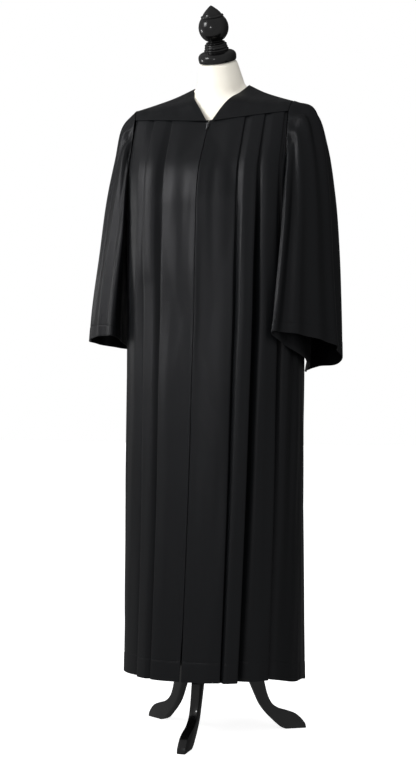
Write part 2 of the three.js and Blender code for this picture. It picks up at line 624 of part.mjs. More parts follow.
// The frame of the slider: it lies along the slope of the chest, facing out.
function sliderFrame() {
  const [low, high] = [bodyPoint(0, SLIDER.z - 8, 0, 1), bodyPoint(0, SLIDER.z + 8, 0, 1)];
  const group = new THREE.Group();
  group.position.set(0, (low[1] + high[1]) / 2, SLIDER.z);
  group.rotation.x = -Math.atan2(high[1] - low[1], high[2] - low[2]);
  return group;
}
const solid = (geometry) => {
  for (const name of ["normal", "uv"]) geometry.deleteAttribute(name);
  const merged = mergeVertices(geometry, 1e-4);
  return new wasm.Manifold(new wasm.Mesh({
    numProp: 3,
    vertProperties: merged.attributes.position.array,
    triVerts: new Uint32Array(merged.index.array),
  }));
};
function geometryOf(manifold) {
  const { vertProperties, triVerts } = manifold.getMesh();
  const geometry = new THREE.BufferGeometry();
  geometry.setAttribute("position", new THREE.Float32BufferAttribute(vertProperties, 3));
  return geometry.setIndex([...triVerts]);
}
const block = (size, place) => new THREE.BoxGeometry(...size).translate(...place);

const sliderFace = -(CLOTH / 2 + SLIDER.gap + SLIDER.thick);
const hingeY = sliderFace - EAR.reach / 2 - 0.2;
const hingeZ = SLIDER.height / 2 - EAR.height / 2;
function zipSlider() {
  const earX = PULL.width / 2 + EAR_GAP + EAR.thick / 2;
  const size = [SLIDER.width, SLIDER.thick, SLIDER.height];
  const body = solid(block(size, [0, sliderFace + SLIDER.thick / 2, 0]));
  const earSize = [EAR.thick, EAR.reach + 1, EAR.height];
  const ears = [-1, 1].map((side) =>
    solid(block(earSize, [side * earX, sliderFace + 0.5 - EAR.reach / 2, hingeZ])));
  return named("zip_slider", geometryOf(ears.reduce((sum, ear) => sum.add(ear), body)), "zip");
}
function zipPull() {
  const barrel = new THREE.CylinderGeometry(PULL.barrel, PULL.barrel, PULL.width, 10).rotateZ(Math.PI / 2);
  const tab = new THREE.Shape();
  const [half, end] = [PULL.width / 2, PULL.length - PULL.width / 2];
  tab.moveTo(-half, 0).lineTo(-half, -end);
  tab.absarc(0, -end, half, Math.PI, 2 * Math.PI, false);
  tab.lineTo(half, 0);
  const plate = new THREE.ExtrudeGeometry(tab, { depth: PULL.thick, bevelEnabled: false, curveSegments: 5 });
  plate.rotateX(Math.PI / 2).translate(0, PULL.thick / 2, 0);
  const joined = solid(barrel).add(solid(plate));
  return named("zip_pull", geometryOf(joined).translate(0, hingeY, hingeZ), "zip");
}

// The dress form
// One section of the form as a ring: the wider of body and neck in every direction, tilted
// forward about its middle.
function formRing(row, count) {
  const tilt = THREE.MathUtils.degToRad(row.tilt);
  return range(count).map((i) => {
    const angle = (i / count) * 2 * Math.PI;
    const [s, c] = [Math.sin(angle), Math.cos(angle)];
    const n = row.square;
    const body = ((Math.abs(s) / row.half) ** n + (Math.abs(c) / row.depth) ** n) ** (-1 / n);
    const reach = (body ** 20 + row.neck ** 20) ** (1 / 20);
    const x = reach * s;
    const y = -reach * c - row.forward * Math.max(0, Math.abs(x) - 60);
    return [x, row.y + y * Math.cos(tilt), row.z + y * Math.sin(tilt)];
  });
}
// A solid through rings, closed at both ends.
function loft(rings) {
  const count = rings[0].length;
  const flat = rings.flat(2);
  const index = [];
  for (let j = 0; j < rings.length - 1; j += 1) {
    for (let i = 0; i < count; i += 1) {
      const next = (i + 1) % count;
      const [a, b, c, d] = [j * count + i, j * count + next, (j + 1) * count + next, (j + 1) * count + i];
      index.push(a, b, c, a, c, d);
    }
  }
  [[0, true], [rings.length - 1, false]].forEach(([j, low]) => {
    const middle = flat.length / 3;
    const sum = rings[j].reduce((m, p) => m.map((value, k) => value + p[k] / count), [0, 0, 0]);
    flat.push(...sum);
    for (let i = 0; i < count; i += 1) {
      const [a, b] = [j * count + i, j * count + ((i + 1) % count)];
      index.push(...(low ? [middle, b, a] : [middle, a, b]));
    }
  });
  const geometry = new THREE.BufferGeometry();
  geometry.setAttribute("position", new THREE.Float32BufferAttribute(flat, 3));
  geometry.setIndex(index);
  if (signedVolume(geometry) < 0) throw new Error("a loft is inside out");
  return geometry;
}

// The form is full enough to carry the yokes: where it would reach into one it is pressed
// back to just under the cloth.
function formTorso() {
  const under = CLOTH / 2 + 0.6;
  const rings = FORM.map((row) => formRing(row, 32));
  const past = -0.8; // the cut runs on a little past the neck edges
  const front = (side) => turned(eased(turned(frontYokeGrid(side)), 0, 1, past));
  const outside = [
    solid(wall(front(1), -under, 22)),
    solid(wall(front(-1), -22, under)), // a mirrored grid faces the other way
    solid(wall(eased(backYokeGrid(), 0, 1, past), -under, 22)),
  ];
  const carved = outside.reduce((form, yoke) => form.subtract(yoke), solid(loft(rings)));
  const body = carved.decompose().sort((a, b) => b.volume() - a.volume())[0];
  return named("form_torso", geometryOf(body), "cover");
}

function neckCap() {
  const { middle, radius, from, to } = CAP_BALL;
  const ball = steps(9, from, to).map((h) => [h, Math.sqrt(radius ** 2 - (h - middle) ** 2)]);
  const profile = [...CAP_BASE, ...CAP_RINGS, ...CAP_NECK, ...ball, ...CAP_POINT];
  const lathe = new THREE.LatheGeometry(profile.map(([h, r]) => new THREE.Vector2(r, h)), 24);
  const cap = named("neck_cap", lathe, "lacquer");
  cap.rotation.x = Math.PI / 2 + THREE.MathUtils.degToRad(CAP.tilt);
  const tilt = THREE.MathUtils.degToRad(CAP.tilt);
  cap.position.set(0, CAP.y - SEAM * Math.sin(tilt), CAP.z + SEAM * Math.cos(tilt));
  return cap;
}

// The stand
function pole() {
  const length = TORSO_BOTTOM - SEAM - (HUB_Z[1] + SEAM);
  const rod = new THREE.CylinderGeometry(POLE_RADIUS, POLE_RADIUS, length, 24).rotateX(Math.PI / 2);
  rod.translate(0, 0, HUB_Z[1] + SEAM + length / 2);
  return named("stand_pole", rod, "lacquer");
}
function hub() {
  const [low, high] = HUB_Z;
  const profile = [
    [0, low], [14, low], [HUB_RADIUS - 3, low + 4], [HUB_RADIUS, low + 12],
    [HUB_RADIUS, high - 22], [HUB_RADIUS + 4, high - 16], [HUB_RADIUS + 4, high - 8], [18, high], [0, high],
  ];
  const lathe = new THREE.LatheGeometry(profile.map(([r, z]) => new THREE.Vector2(r, z)), 24);
  return named("stand_hub", lathe.rotateX(Math.PI / 2), "lacquer");
}
function leg(name) {
  const root = HUB_RADIUS + SEAM;
  const outlinePoints = [[root, 292], ...LEG_OUTER, ...LEG_FOOT, ...LEG_INNER, [root, 206]];
  const shape = new THREE.Shape(outlinePoints.map(([r, z]) => new THREE.Vector2(r, z)));
  const board = new THREE.ExtrudeGeometry(shape, { depth: LEG_THICK, bevelEnabled: false });
  board.translate(0, 0, -LEG_THICK / 2).rotateX(Math.PI / 2);
  const mesh = named(name, board, "lacquer");
  mesh.rotation.z = THREE.MathUtils.degToRad(-90 + LEG_TURNS[name]);
  return mesh;
}

const stand = new THREE.Group();
stand.position.x = STAND_X;
stand.add(pole(), hub(), ...Object.keys(LEG_TURNS).map(leg));

const slider = sliderFrame();
slider.add(zipSlider(), zipPull());

const robe = new THREE.Group();
robe.add(
  frontPanel(1), frontPanel(-1), backPanel(), frontYoke(1), frontYoke(-1), backYoke(),
  sleeve("sleeve_left", 1, LEFT_SLEEVE, LEFT_FOLDS, LEFT_CLEAR),
  sleeve("sleeve_right", -1, RIGHT_SLEEVE, RIGHT_FOLDS, RIGHT_CLEAR),
  zipTape(), slider,
);

const model = new THREE.Group();
model.add(robe, formTorso(), neckCap(), stand);

export default model;
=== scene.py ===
# %% [markdown]
# # A judge robe on a dress form
# A full-length black robe with pleated fronts, a zip and wide bell sleeves hangs on a limbless
# dress form with a turned neck cap and a three-legged stand. The lesson starts from the packed
# solid model, which fixes every place and size. It then sews a finer cloth shell for each solid,
# turns and cuts the wooden parts afresh, and gives each surface its finish.

# %% Load the solid model
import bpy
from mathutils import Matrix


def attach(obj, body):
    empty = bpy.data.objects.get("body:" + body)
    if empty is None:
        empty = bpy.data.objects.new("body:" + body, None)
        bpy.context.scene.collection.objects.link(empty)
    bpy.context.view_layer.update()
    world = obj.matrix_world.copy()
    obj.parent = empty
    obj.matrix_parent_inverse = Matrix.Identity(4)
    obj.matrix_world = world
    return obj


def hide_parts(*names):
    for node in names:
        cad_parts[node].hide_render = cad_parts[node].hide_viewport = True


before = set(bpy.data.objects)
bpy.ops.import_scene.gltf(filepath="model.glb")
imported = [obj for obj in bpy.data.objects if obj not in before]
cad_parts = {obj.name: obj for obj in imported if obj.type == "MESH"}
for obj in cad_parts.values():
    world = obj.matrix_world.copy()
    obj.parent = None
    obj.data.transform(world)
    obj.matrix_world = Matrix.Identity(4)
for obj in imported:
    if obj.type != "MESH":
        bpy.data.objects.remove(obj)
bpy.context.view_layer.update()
print("the solid model has", len(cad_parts), "pieces")

# %% [markdown]
# ## The camera
# The picture was taken from the middle height of the robe, level, and 20 degrees round
# towards the wearer's left. The camera could be turned by eye until the outline fits. Here its
# place comes from fitting known points of the solids.

# %% Camera at the photographer's place
import math
import bpy
import numpy as np
from mathutils import Matrix, Vector

MM = 0.001
CAMERA_PLACE = (1.1913, -3.3123, 0.810)  # metres from the middle of the floor
LEVEL, TURNED = math.radians(90), math.radians(20)
LENS, SENSOR = 72.27, 36  # millimetres

scene = bpy.context.scene
camera_data = bpy.data.cameras.new("studio_camera")
camera_data.lens = LENS
camera_data.sensor_width = SENSOR
camera = bpy.data.objects.new("studio_camera", camera_data)
camera.location = CAMERA_PLACE
camera.rotation_euler = (LEVEL, 0, TURNED)
scene.collection.objects.link(camera)
scene.camera = camera
print("camera", round(camera.location.length, 2), "m from the foot of the stand")

# %% [markdown]
# ## Writing finishes as sums
# A finish is a small graph of shader nodes, which is slow to read when it is wired one link at a
# time. One class wraps a socket, so that sums on sockets add their own Math nodes. A second
# class holds the material and adds every other kind of node through one method.

# %% Two classes for finishes
class Wire:
    """An output socket that can stand in a sum."""

    def __init__(self, finish, socket):
        self.finish, self.socket = finish, socket

    def reckon(self, operation, *others):
        values = dict(enumerate((self, *others)))
        return self.finish.node("Math", {"operation": operation}, values)

    def __add__(self, other):
        return self.reckon("ADD", other)

    def __mul__(self, other):
        return self.reckon("MULTIPLY", other)

    __radd__, __rmul__ = __add__, __mul__

    def wave(self, length):
        """0 to 1 and back once in every length."""
        return (self * (2 * math.pi / length)).reckon("SINE") * 0.5 + 0.5


class Finish:
    """A material whose shader takes constants at once and graphs through feed."""

    def __init__(self, name, constants):
        self.material = bpy.data.materials.new(name)
        self.material.use_nodes = True
        self.tree = self.material.node_tree
        self.shader = self.tree.nodes["Principled BSDF"]
        for socket, value in constants.items():
            self.shader.inputs[socket].default_value = value

    def node(self, kind, settings=None, sockets=None, out=0):
        node = self.tree.nodes.new("ShaderNode" + kind)
        for name, value in (settings or {}).items():
            setattr(node, name, value)
        for name, value in (sockets or {}).items():
            if isinstance(value, Wire):
                self.tree.links.new(value.socket, node.inputs[name])
            else:
                node.inputs[name].default_value = value
        return Wire(self, node.outputs[out])

    def place(self, source):
        """Object or UV coordinates, whole and as three numbers."""
        whole = self.node("TexCoord", out={"Object": 3, "UV": 2}[source])
        return whole, [self.node("SeparateXYZ", sockets={0: whole}, out=i) for i in range(3)]

    def noise(self, where, scale, detail=3.0, stretch=(1, 1, 1)):
        spot = self.node("Mapping", sockets={"Vector": where, "Scale": stretch})
        return self.node("TexNoise", sockets={"Vector": spot, "Scale": scale, "Detail": detail})

    def between(self, share, low, high):
        """Two colours mixed by a share."""
        settings = {"data_type": "RGBA"}
        return self.node("Mix", settings, {0: share, 6: (*low, 1), 7: (*high, 1)}, out=2)

    def bump(self, height, distance, strength=1.0):
        sockets = {"Height": height, "Distance": distance, "Strength": strength}
        return self.node("Bump", sockets=sockets)

    def feed(self, **links):
        for name, wire in links.items():
            self.tree.links.new(wire.socket, self.shader.inputs[name.replace("_", " ")])


print("finishes can be written as sums")

# %% [markdown]
# ## The studio
# The robe stands on a plain white floor in front of white paper. The two bright spots on the
# turned ball tell where two lamps were: one almost straight ahead and one far round to the left.
# Between them stands a larger one with a grid, which sends its light only onto the upper cloth,
# so its soft bands lie there and the skirt stays evenly dark. The paper and the floor are bright
# to the eye of the camera. They light the robe from the front alone, so black stays black.

# %% Floor, paper and softboxes
def softbox(name, azimuth, distance, height, size, power, aim, grid=180):
    """An area lamp round the robe, aimed at a height; a grid narrows its beam to that many degrees."""
    data = bpy.data.lights.new(name, "AREA")
    data.shape = "RECTANGLE"
    data.size, data.size_y = size
    data.energy = power
    data.spread = math.radians(grid)
    lamp = bpy.data.objects.new(name, data)
    turn = math.radians(azimuth)
    spot = Vector((math.sin(turn) * distance, -math.cos(turn) * distance, height))
    lamp.location = spot
    lamp.rotation_euler = (spot - Vector((0, 0, aim))).to_track_quat("Z", "Y").to_euler()
    scene.collection.objects.link(lamp)


softbox("front_softbox", -3, 1.9, 1.25, size=(0.17, 0.17), power=4.5, aim=1.3)
softbox("left_softbox", -91, 1.9, 1.25, size=(0.2, 0.3), power=5, aim=1.2)
softbox("gridded_softbox", -47, 1.7, 1.85, size=(0.6, 1.0), power=3.2, aim=1.1, grid=50)

bpy.ops.object.select_all(action="DESELECT")
bpy.ops.mesh.primitive_plane_add(size=30, location=(0, 0, 0))
floor = bpy.context.object
floor.name = "floor"
floor.visible_diffuse = floor.visible_glossy = False
paper = Finish("white_floor", {"Roughness": 0.8, "Emission Strength": 0.9})
where, _ = paper.place("Object")
tone = paper.between(paper.noise(where, 3.0), (0.93, 0.93, 0.93), (0.95, 0.95, 0.95))
paper.feed(Base_Color=tone, Emission_Color=tone)
floor.data.materials.append(paper.material)

world = bpy.data.worlds.new("white_paper")
scene.world = world
world.use_nodes = True
tree = world.node_tree
seen = tree.nodes["Background"]
seen.inputs["Color"].default_value = (1, 1, 1, 1)
seen.inputs["Strength"].default_value = 1.0
cast = tree.nodes.new("ShaderNodeBackground")
cast.inputs["Color"].default_value = (1, 1, 1, 1)
heading = tree.nodes.new("ShaderNodeTexCoord")
parts = tree.nodes.new("ShaderNodeSeparateXYZ")
# the paper's light comes from ahead of the robe and falls off towards its back
fade = tree.nodes.new("ShaderNodeMapRange")
for socket, value in {"From Min": -0.3, "From Max": 0.75, "To Min": 0.8, "To Max": 0.08}.items():
    fade.inputs[socket].default_value = value
tree.links.new(heading.outputs["Generated"], parts.inputs[0])
tree.links.new(parts.outputs["Y"], fade.inputs[0])
tree.links.new(fade.outputs[0], cast.inputs["Strength"])
rays = tree.nodes.new("ShaderNodeLightPath")
either = tree.nodes.new("ShaderNodeMixShader")
tree.links.new(rays.outputs["Is Camera Ray"], either.inputs[0])
tree.links.new(cast.outputs[0], either.inputs[1])
tree.links.new(seen.outputs[0], either.inputs[2])
tree.links.new(either.outputs[0], tree.nodes["World Output"].inputs["Surface"])
scene.view_settings.view_transform = "Standard"
print("three softboxes and a white floor")

# %% [markdown]
# ## The finishes
# The robe is a fine, close black cloth with a soft, slightly violet sheen, woven with a twill
# line that is too small to see from the camera but shows close by. Its pattern follows the
# surface, so it reads the cloth's own UV map, which is laid out in metres. The dress form wears
# a cream knit, the wood has black lacquer over a faint grain, and the zip is dark enamelled metal.

# %% Cloth, thread and tape
def weave(name, thread, colours, gloss, sheen, bump):
    finish = Finish(name, sheen)
    spot, (u, v, _) = finish.place("UV")
    twill = (u + v).wave(2.4 * thread)
    warp, weft = u.wave(thread), v.wave(thread)
    slub = finish.noise(spot, 35, 4, (1, 0.25, 1))
    cloud = finish.noise(spot, 6, 3)
    height = twill * 0.55 + warp * weft * 0.35 + slub * 0.5
    share = cloud * 0.6 + twill * 0.25 + slub * 0.15
    finish.feed(
        Base_Color=finish.between(share, *colours),
        Roughness=slub * (gloss[1] - gloss[0]) + gloss[0],
        Normal=finish.bump(height, bump, 0.5),
    )
    return finish.material


BLACK = ((0.0020, 0.0023, 0.0026), (0.0040, 0.0045, 0.0052))
SHEEN = {
    "Sheen Weight": 0.015,
    "Sheen Roughness": 0.4,
    "Sheen Tint": (0.95, 0.92, 1.0, 1),
    "Specular IOR Level": 0.12,
    "Specular Tint": (0.97, 0.96, 1.0, 1),
}
robe_cloth = weave("robe_cloth", 0.0005, BLACK, (0.36, 0.46), SHEEN, 0.00012)
DULL = {"Sheen Weight": 0.03, "Sheen Roughness": 0.5, "Specular IOR Level": 0.1}
tape_weave = weave("tape_weave", 0.0009, BLACK, (0.6, 0.75), DULL, 0.0002)
GLOSSY = {"Sheen Weight": 0.03, "Sheen Roughness": 0.3, "Specular IOR Level": 0.18}

thread = Finish("sewing_thread", GLOSSY)
spot, (x, y, z) = thread.place("Object")
strand = (x + y + z).wave(0.0006)
thread.feed(
    Base_Color=thread.between(strand, (0.004, 0.004, 0.005), (0.011, 0.011, 0.012)),
    Roughness=strand * 0.15 + 0.38,
)
print("three finishes for cloth, tape and thread")

# %% Knit cover, lacquer and metal
knit = Finish("knit_cover", {"Sheen Weight": 0.25, "Sheen Roughness": 0.5})
spot, (x, y, z) = knit.place("Object")
round_the_form = x.reckon("ARCTAN2", y)
wale = (round_the_form * 0.05).wave(0.0013)
course = (z + wale * 0.0004).wave(0.0016)
cloud = knit.noise(spot, 12, 4)
knit.feed(
    Base_Color=knit.between(cloud * 0.7 + course * 0.3, (0.90, 0.85, 0.74), (0.95, 0.91, 0.82)),
    Roughness=cloud * 0.1 + 0.78,
    Normal=knit.bump(wale * course + cloud * 0.3, 0.0003, 0.6),
)

lacquer = Finish("black_lacquer", {"Coat Roughness": 0.06, "Specular IOR Level": 0.12})
spot, (x, y, z) = lacquer.place("Object")
grain = lacquer.noise(spot, 60, 4, (1, 1, 0.12))
brush = lacquer.noise(spot, 14, 2)
lacquer.feed(
    Base_Color=lacquer.between(grain, (0.0018, 0.0018, 0.002), (0.0042, 0.004, 0.0042)),
    Roughness=brush * 0.14 + grain * 0.06 + 0.16,
    Coat_Weight=brush * 0.2 + 0.2,
    Normal=lacquer.bump(grain * 0.6 + brush, 0.00035, 0.35),
)

metal = Finish("zip_metal", {"Metallic": 1.0})
spot, (x, y, z) = metal.place("Object")
rub = metal.noise(spot, 900, 3, (1, 1, 0.2))
metal.feed(
    Base_Color=metal.between(rub, (0.05, 0.05, 0.052), (0.11, 0.11, 0.115)),
    Roughness=rub * 0.2 + 0.3,
    Normal=metal.bump(rub, 0.00008, 0.4),
)
print("finishes for the form, the wood and the zip")

# %% [markdown]
# ## The shape of the worn robe
# On the stand the robe falls from the yoke as a tube, wide and rather flat at the chest and
# nearly round at the hem. A cloth simulation would find such a shape but not this one, with
# these pleats in these places. So outlines like those of the solid robe are used: a squared
# ellipse at each height, with points found by their distance round from the centre line. Along
# the zip the fronts also stand forward in a soft keel, most at the chest.

# %% Outlines of the robe body
BODY = np.array([
    # height, front, back, middle, half width, squareness in front and behind
    (1425, -23, 108, 22, 206, 5.0, 2.6),
    (1350, -60, 139, 20, 206, 4.0, 2.5),
    (1283, -91, 148, 16, 206, 3.3, 2.4),
    (1180, -104, 149, 8, 206, 2.8, 2.3),
    (1063, -117, 152, 4, 206.5, 2.5, 2.4),
    (948, -125, 154, 4, 206.5, 2.3, 2.4),
    (811, -142, 162, 4, 206.5, 2.1, 2.3),
    (545, -167, 182, 0, 206, 2, 2.1),
    (280, -198, 206, 0, 204.5, 2, 2),
    (100, -222, 224, 0, 203.5, 2, 2),
]) * (MM, MM, MM, MM, MM, 1, 1)


def mix(a, b, t):
    return a + (b - a) * t


def smooth(t):
    t = np.clip(t, 0, 1)
    return t * t * (3 - 2 * t)


def row_at(table, z):
    """A row of a table at any height, with smooth steps between the rows."""
    i = 0
    while i < len(table) - 2 and z < table[i + 1, 0]:
        i += 1
    a, b = table[i], table[i + 1]
    before, after = table[max(0, i - 1)], table[min(len(table) - 1, i + 2)]
    gap = b[0] - a[0]
    t = (z - a[0]) / gap
    slope_a = (b - before) / (b[0] - before[0]) * gap if i else b - a
    slope_b = (after - a) / (after[0] - a[0]) * gap if i + 2 < len(table) else b - a
    rise, fall = 3 * t**2 - 2 * t**3, 1 - 3 * t**2 + 2 * t**3
    return fall * a + (t**3 - 2 * t**2 + t) * slope_a + rise * b + (t**3 - t**2) * slope_b


LEVEL_STEP = 4 * MM
LEVELS = np.arange(0.1, 1.4251, LEVEL_STEP)
BODY_ROWS = np.array([row_at(BODY, z) for z in LEVELS])
SHARES = np.linspace(0, 1, 161)


def quarter_outlines(back):
    """At each level, points, directions outwards and the length of a quarter of the outline."""
    points, outs, lengths = [], [], []
    for _, front_y, back_y, middle, half, square, square_back in BODY_ROWS:
        angle = SHARES * math.pi / 2
        power = 2 / (square_back if back else square)
        depth = (back_y - middle) if back else (middle - front_y)
        x = half * np.abs(np.sin(angle)) ** power
        y = middle + depth * np.abs(np.cos(angle)) ** power * (1 if back else -1)
        travelled = np.append(0, np.cumsum(np.hypot(np.diff(x), np.diff(y))))
        even = SHARES * travelled[-1]
        x, y = np.interp(even, travelled, x), np.interp(even, travelled, y)
        dx, dy = np.gradient(x), np.gradient(y)
        out = np.stack([dy, -dx], 1) * (-1 if back else 1)
        points.append(np.stack([x, y], 1))
        outs.append(out / np.linalg.norm(out, axis=1, keepdims=True))
        lengths.append(travelled[-1])
    return np.concatenate([points, outs], 2), np.array(lengths)


OUTLINES = {back: quarter_outlines(back) for back in (False, True)}


def quarter_length(z, back=False):
    return np.interp(z, LEVELS, OUTLINES[back][1])


def body_point(s, z, lift=0.0, side=1, back=False):
    """The place s metres round from the centre line at height z, stood out by lift."""
    s, z, lift = np.broadcast_arrays(np.asarray(s, float), z, lift)
    table, _ = OUTLINES[back]
    level = np.clip((z - LEVELS[0]) / LEVEL_STEP, 0, len(LEVELS) - 1.001)
    share = np.clip(np.abs(s) / quarter_length(z, back), 0, 1) * (len(SHARES) - 1.001)
    j, i = level.astype(int), share.astype(int)
    f, g = (level - j)[..., None], (share - i)[..., None]
    low = mix(table[j, i], table[j, i + 1], g)
    high = mix(table[j + 1, i], table[j + 1, i + 1], g)
    x, y, out_x, out_y = np.moveaxis(mix(low, high, f), -1, 0)
    return np.stack([(x + out_x * lift) * side, y + out_y * lift, z], -1)


KEEL = np.array([
    # height, and how far from the zip the fronts still stand forward there
    (600, 0), (770, 16), (860, 30), (950, 42), (1040, 60),
    (1130, 80), (1220, 108), (1310, 60), (1385, 0),
]) * MM
KEEL_SLOPE = 0.15
KEEL_FOOT = 6 * MM  # width over which the keel rises from the cloth beside it


def keel(s, z):
    """The fronts stand forward along the zip, most at the chest: this much at a place."""
    reach = np.interp(z, KEEL[:, 0], KEEL[:, 1])
    depth = np.maximum(reach - np.abs(s), 0)
    return KEEL_SLOPE * depth * depth / (depth + KEEL_FOOT)


print("body outlines at", len(LEVELS), "levels, hem half width", round(quarter_length(0.134), 3), "m")

# %% [markdown]
# ## From a grid of points to cloth
# Every cloth piece starts as a grid of points on its middle surface, a row for each height and a
# column for each thread line. A mesh through the grid gets its thickness from Solidify, and
# Bevel rounds the cut edges. The length along the rows and columns becomes the UV map, in
# metres, and also the size that the piece was cut to.

# %% Helpers for cloth
CLOTH = 1.0 * MM  # thickness of the visible cloth
FOLD = 0.65 * MM  # radius of a pressed fold
ROBE_MIDDLE = (0, 30 * MM, 0)  # the middle of the robe, which directions outwards point away from


def unit(v):
    return v / np.maximum(np.linalg.norm(v, axis=-1, keepdims=True), 1e-12)


def select_only(piece):
    bpy.ops.object.select_all(action="DESELECT")
    piece.select_set(True)
    bpy.context.view_layer.objects.active = piece


def modify(piece, kind, **settings):
    modifier = piece.modifiers.new(kind.title(), kind)
    for name, value in settings.items():
        setattr(modifier, name, value)
    select_only(piece)
    bpy.ops.object.modifier_apply(modifier=modifier.name)


def face_outwards(piece):
    """Turns every face of a closed piece outwards."""
    select_only(piece)
    bpy.ops.object.mode_set(mode="EDIT")
    bpy.ops.mesh.select_all(action="SELECT")
    bpy.ops.mesh.normals_make_consistent(inside=False)
    bpy.ops.object.mode_set(mode="OBJECT")


def new_piece(name, points, faces, material):
    mesh = bpy.data.meshes.new(name)
    mesh.from_pydata([tuple(p) for p in points], [], faces)
    mesh.materials.append(material)
    piece = bpy.data.objects.new(name, mesh)
    scene.collection.objects.link(piece)
    return piece


def belongs(piece, nodes, body="robe_and_form"):
    """Attaches a piece to the body it moves with, and hides the solids it stands for."""
    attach(piece, body)
    if nodes:
        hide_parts(*nodes)


def normals_of(grid, closed=False):
    """Directions out of the robe, or out of the sleeve where the rows are rings."""
    if closed:
        before, behind = grid - np.roll(grid, 1, 1), np.roll(grid, -1, 1) - grid
        away = grid - grid.mean(axis=1, keepdims=True)
    else:
        step = np.diff(grid, axis=1)
        before = np.concatenate([step[:, :1], step], 1)
        behind = np.concatenate([step, step[:, -1:]], 1)
        away = (grid - ROBE_MIDDLE) * (1, 1, 0)
    out = unit(np.cross(unit(before) + unit(behind), np.gradient(grid, axis=0)))
    return out if (out * away).sum() > 0 else -out


def lengths_along(grid, axis):
    """The distance travelled along the rows or the columns, from their first point."""
    steps = np.linalg.norm(np.diff(grid, axis=axis), axis=-1)
    start = np.zeros_like(np.take(steps, [0], axis))
    return np.cumsum(np.concatenate([start, steps], axis), axis)


def make_cloth(name, grid, nodes, closed=False):
    """Sews one piece through a grid."""
    rows, columns = grid.shape[:2]
    ring = np.concatenate([grid, grid[:, :1]], 1) if closed else grid
    across, down = lengths_along(ring, 1), lengths_along(ring, 0)
    widest = across[np.argmax(across[:, -1])]
    longest = down[:, np.argmax(down[-1])]
    faces, places = [], []
    for j in range(rows - 1):
        for i in range(columns if closed else columns - 1):
            n = (i + 1) % columns
            faces.append((j * columns + i, (j + 1) * columns + i, (j + 1) * columns + n, j * columns + n))
            corners = ((i, j), (i, j + 1), (i + 1, j + 1), (i + 1, j))
            places += [(widest[a], longest[b]) for a, b in corners]
    piece = new_piece(name, grid.reshape(-1, 3), faces, robe_cloth)
    layer = piece.data.uv_layers.new(name="cloth")
    layer.data.foreach_set("uv", np.array(places).ravel())
    modify(piece, "SOLIDIFY", thickness=CLOTH, offset=0)
    rounding = {"limit_method": "ANGLE", "angle_limit": math.radians(62)}
    modify(piece, "BEVEL", width=0.35 * MM, segments=2, **rounding)
    piece.data.shade_smooth()
    facing = np.cross(ring[1:, 1:] - ring[:-1, :-1], ring[1:, :-1] - ring[:-1, 1:])
    belongs(piece, nodes)
    return piece


def up_from_edge(grid, distance):
    """The line a distance in from the last row, and the grid row it lies in."""
    down = lengths_along(grid[::-1], 0)
    line = np.empty((grid.shape[1], 3))
    for i in range(grid.shape[1]):
        for k in range(3):
            line[i, k] = np.interp(distance, down[:, i], grid[::-1][:, i, k])
    return line


def turn_under(grid, depth, closed=False):
    """Adds a hem: the last row is folded inwards and runs back up by depth."""
    out = normals_of(grid, closed)
    edge, normal = grid[-1], out[-1]
    way = unit(grid[-1] - grid[-2])
    curl = []
    for angle in np.radians((35, 70, 110, 145, 180)):
        curl.append(edge + FOLD * (way * np.sin(angle) - normal * (1 - np.cos(angle))))
    inside = grid - out * 2 * FOLD
    back_up = [up_from_edge(inside, d) for d in (0.25 * depth, 0.5 * depth, 0.75 * depth, depth)]
    return np.concatenate([grid, curl, back_up])


print("cloth is", CLOTH / MM, "mm thick and its folds turn on", FOLD / MM, "mm")

# %% [markdown]
# ## Soft creases
# Black cloth shows its shape only by its sheen, so shallow troughs and ridges matter more than
# colour. They could be painted by noise, but real ones have a place: they run down from a
# pleat, or slant from where the cloth is drawn in. Each is given by its two ends, its width and
# its height, and fades towards its ends.

# %% Creases and unevenness
def creases(u, v, table):
    """Heights of soft ridges (or troughs, if negative) that run between two places."""
    total = np.zeros(np.broadcast(u, v).shape)
    for u0, v0, u1, v1, width, height in np.array(table, float) * MM:
        share = ((u - u0) * (u1 - u0) + (v - v0) * (v1 - v0)) / ((u1 - u0) ** 2 + (v1 - v0) ** 2)
        t = np.clip(share, 0, 1)
        gap = np.hypot(u - mix(u0, u1, t), v - mix(v0, v1, t))
        fade = np.sin(math.pi * np.clip(share, 0.001, 0.999)) ** 0.6
        total += height * np.exp(-((gap / width) ** 2)) * fade
    return total


def unevenness(u, v, size):
    """A slow wave that never repeats, long down the cloth and short across it."""
    waves = ((71, 6.1, 0.4), (117, -9.7, 2.1), (43, 13.3, 4.0), (163, 4.9, 5.2), (89, -17.0, 1.3))
    return size * sum(np.sin(a * u + b * v + c) for a, b, c in waves) / 2.6


STITCH = {"step": 3.6 * MM, "length": 2.5 * MM, "thick": 0.42 * MM}


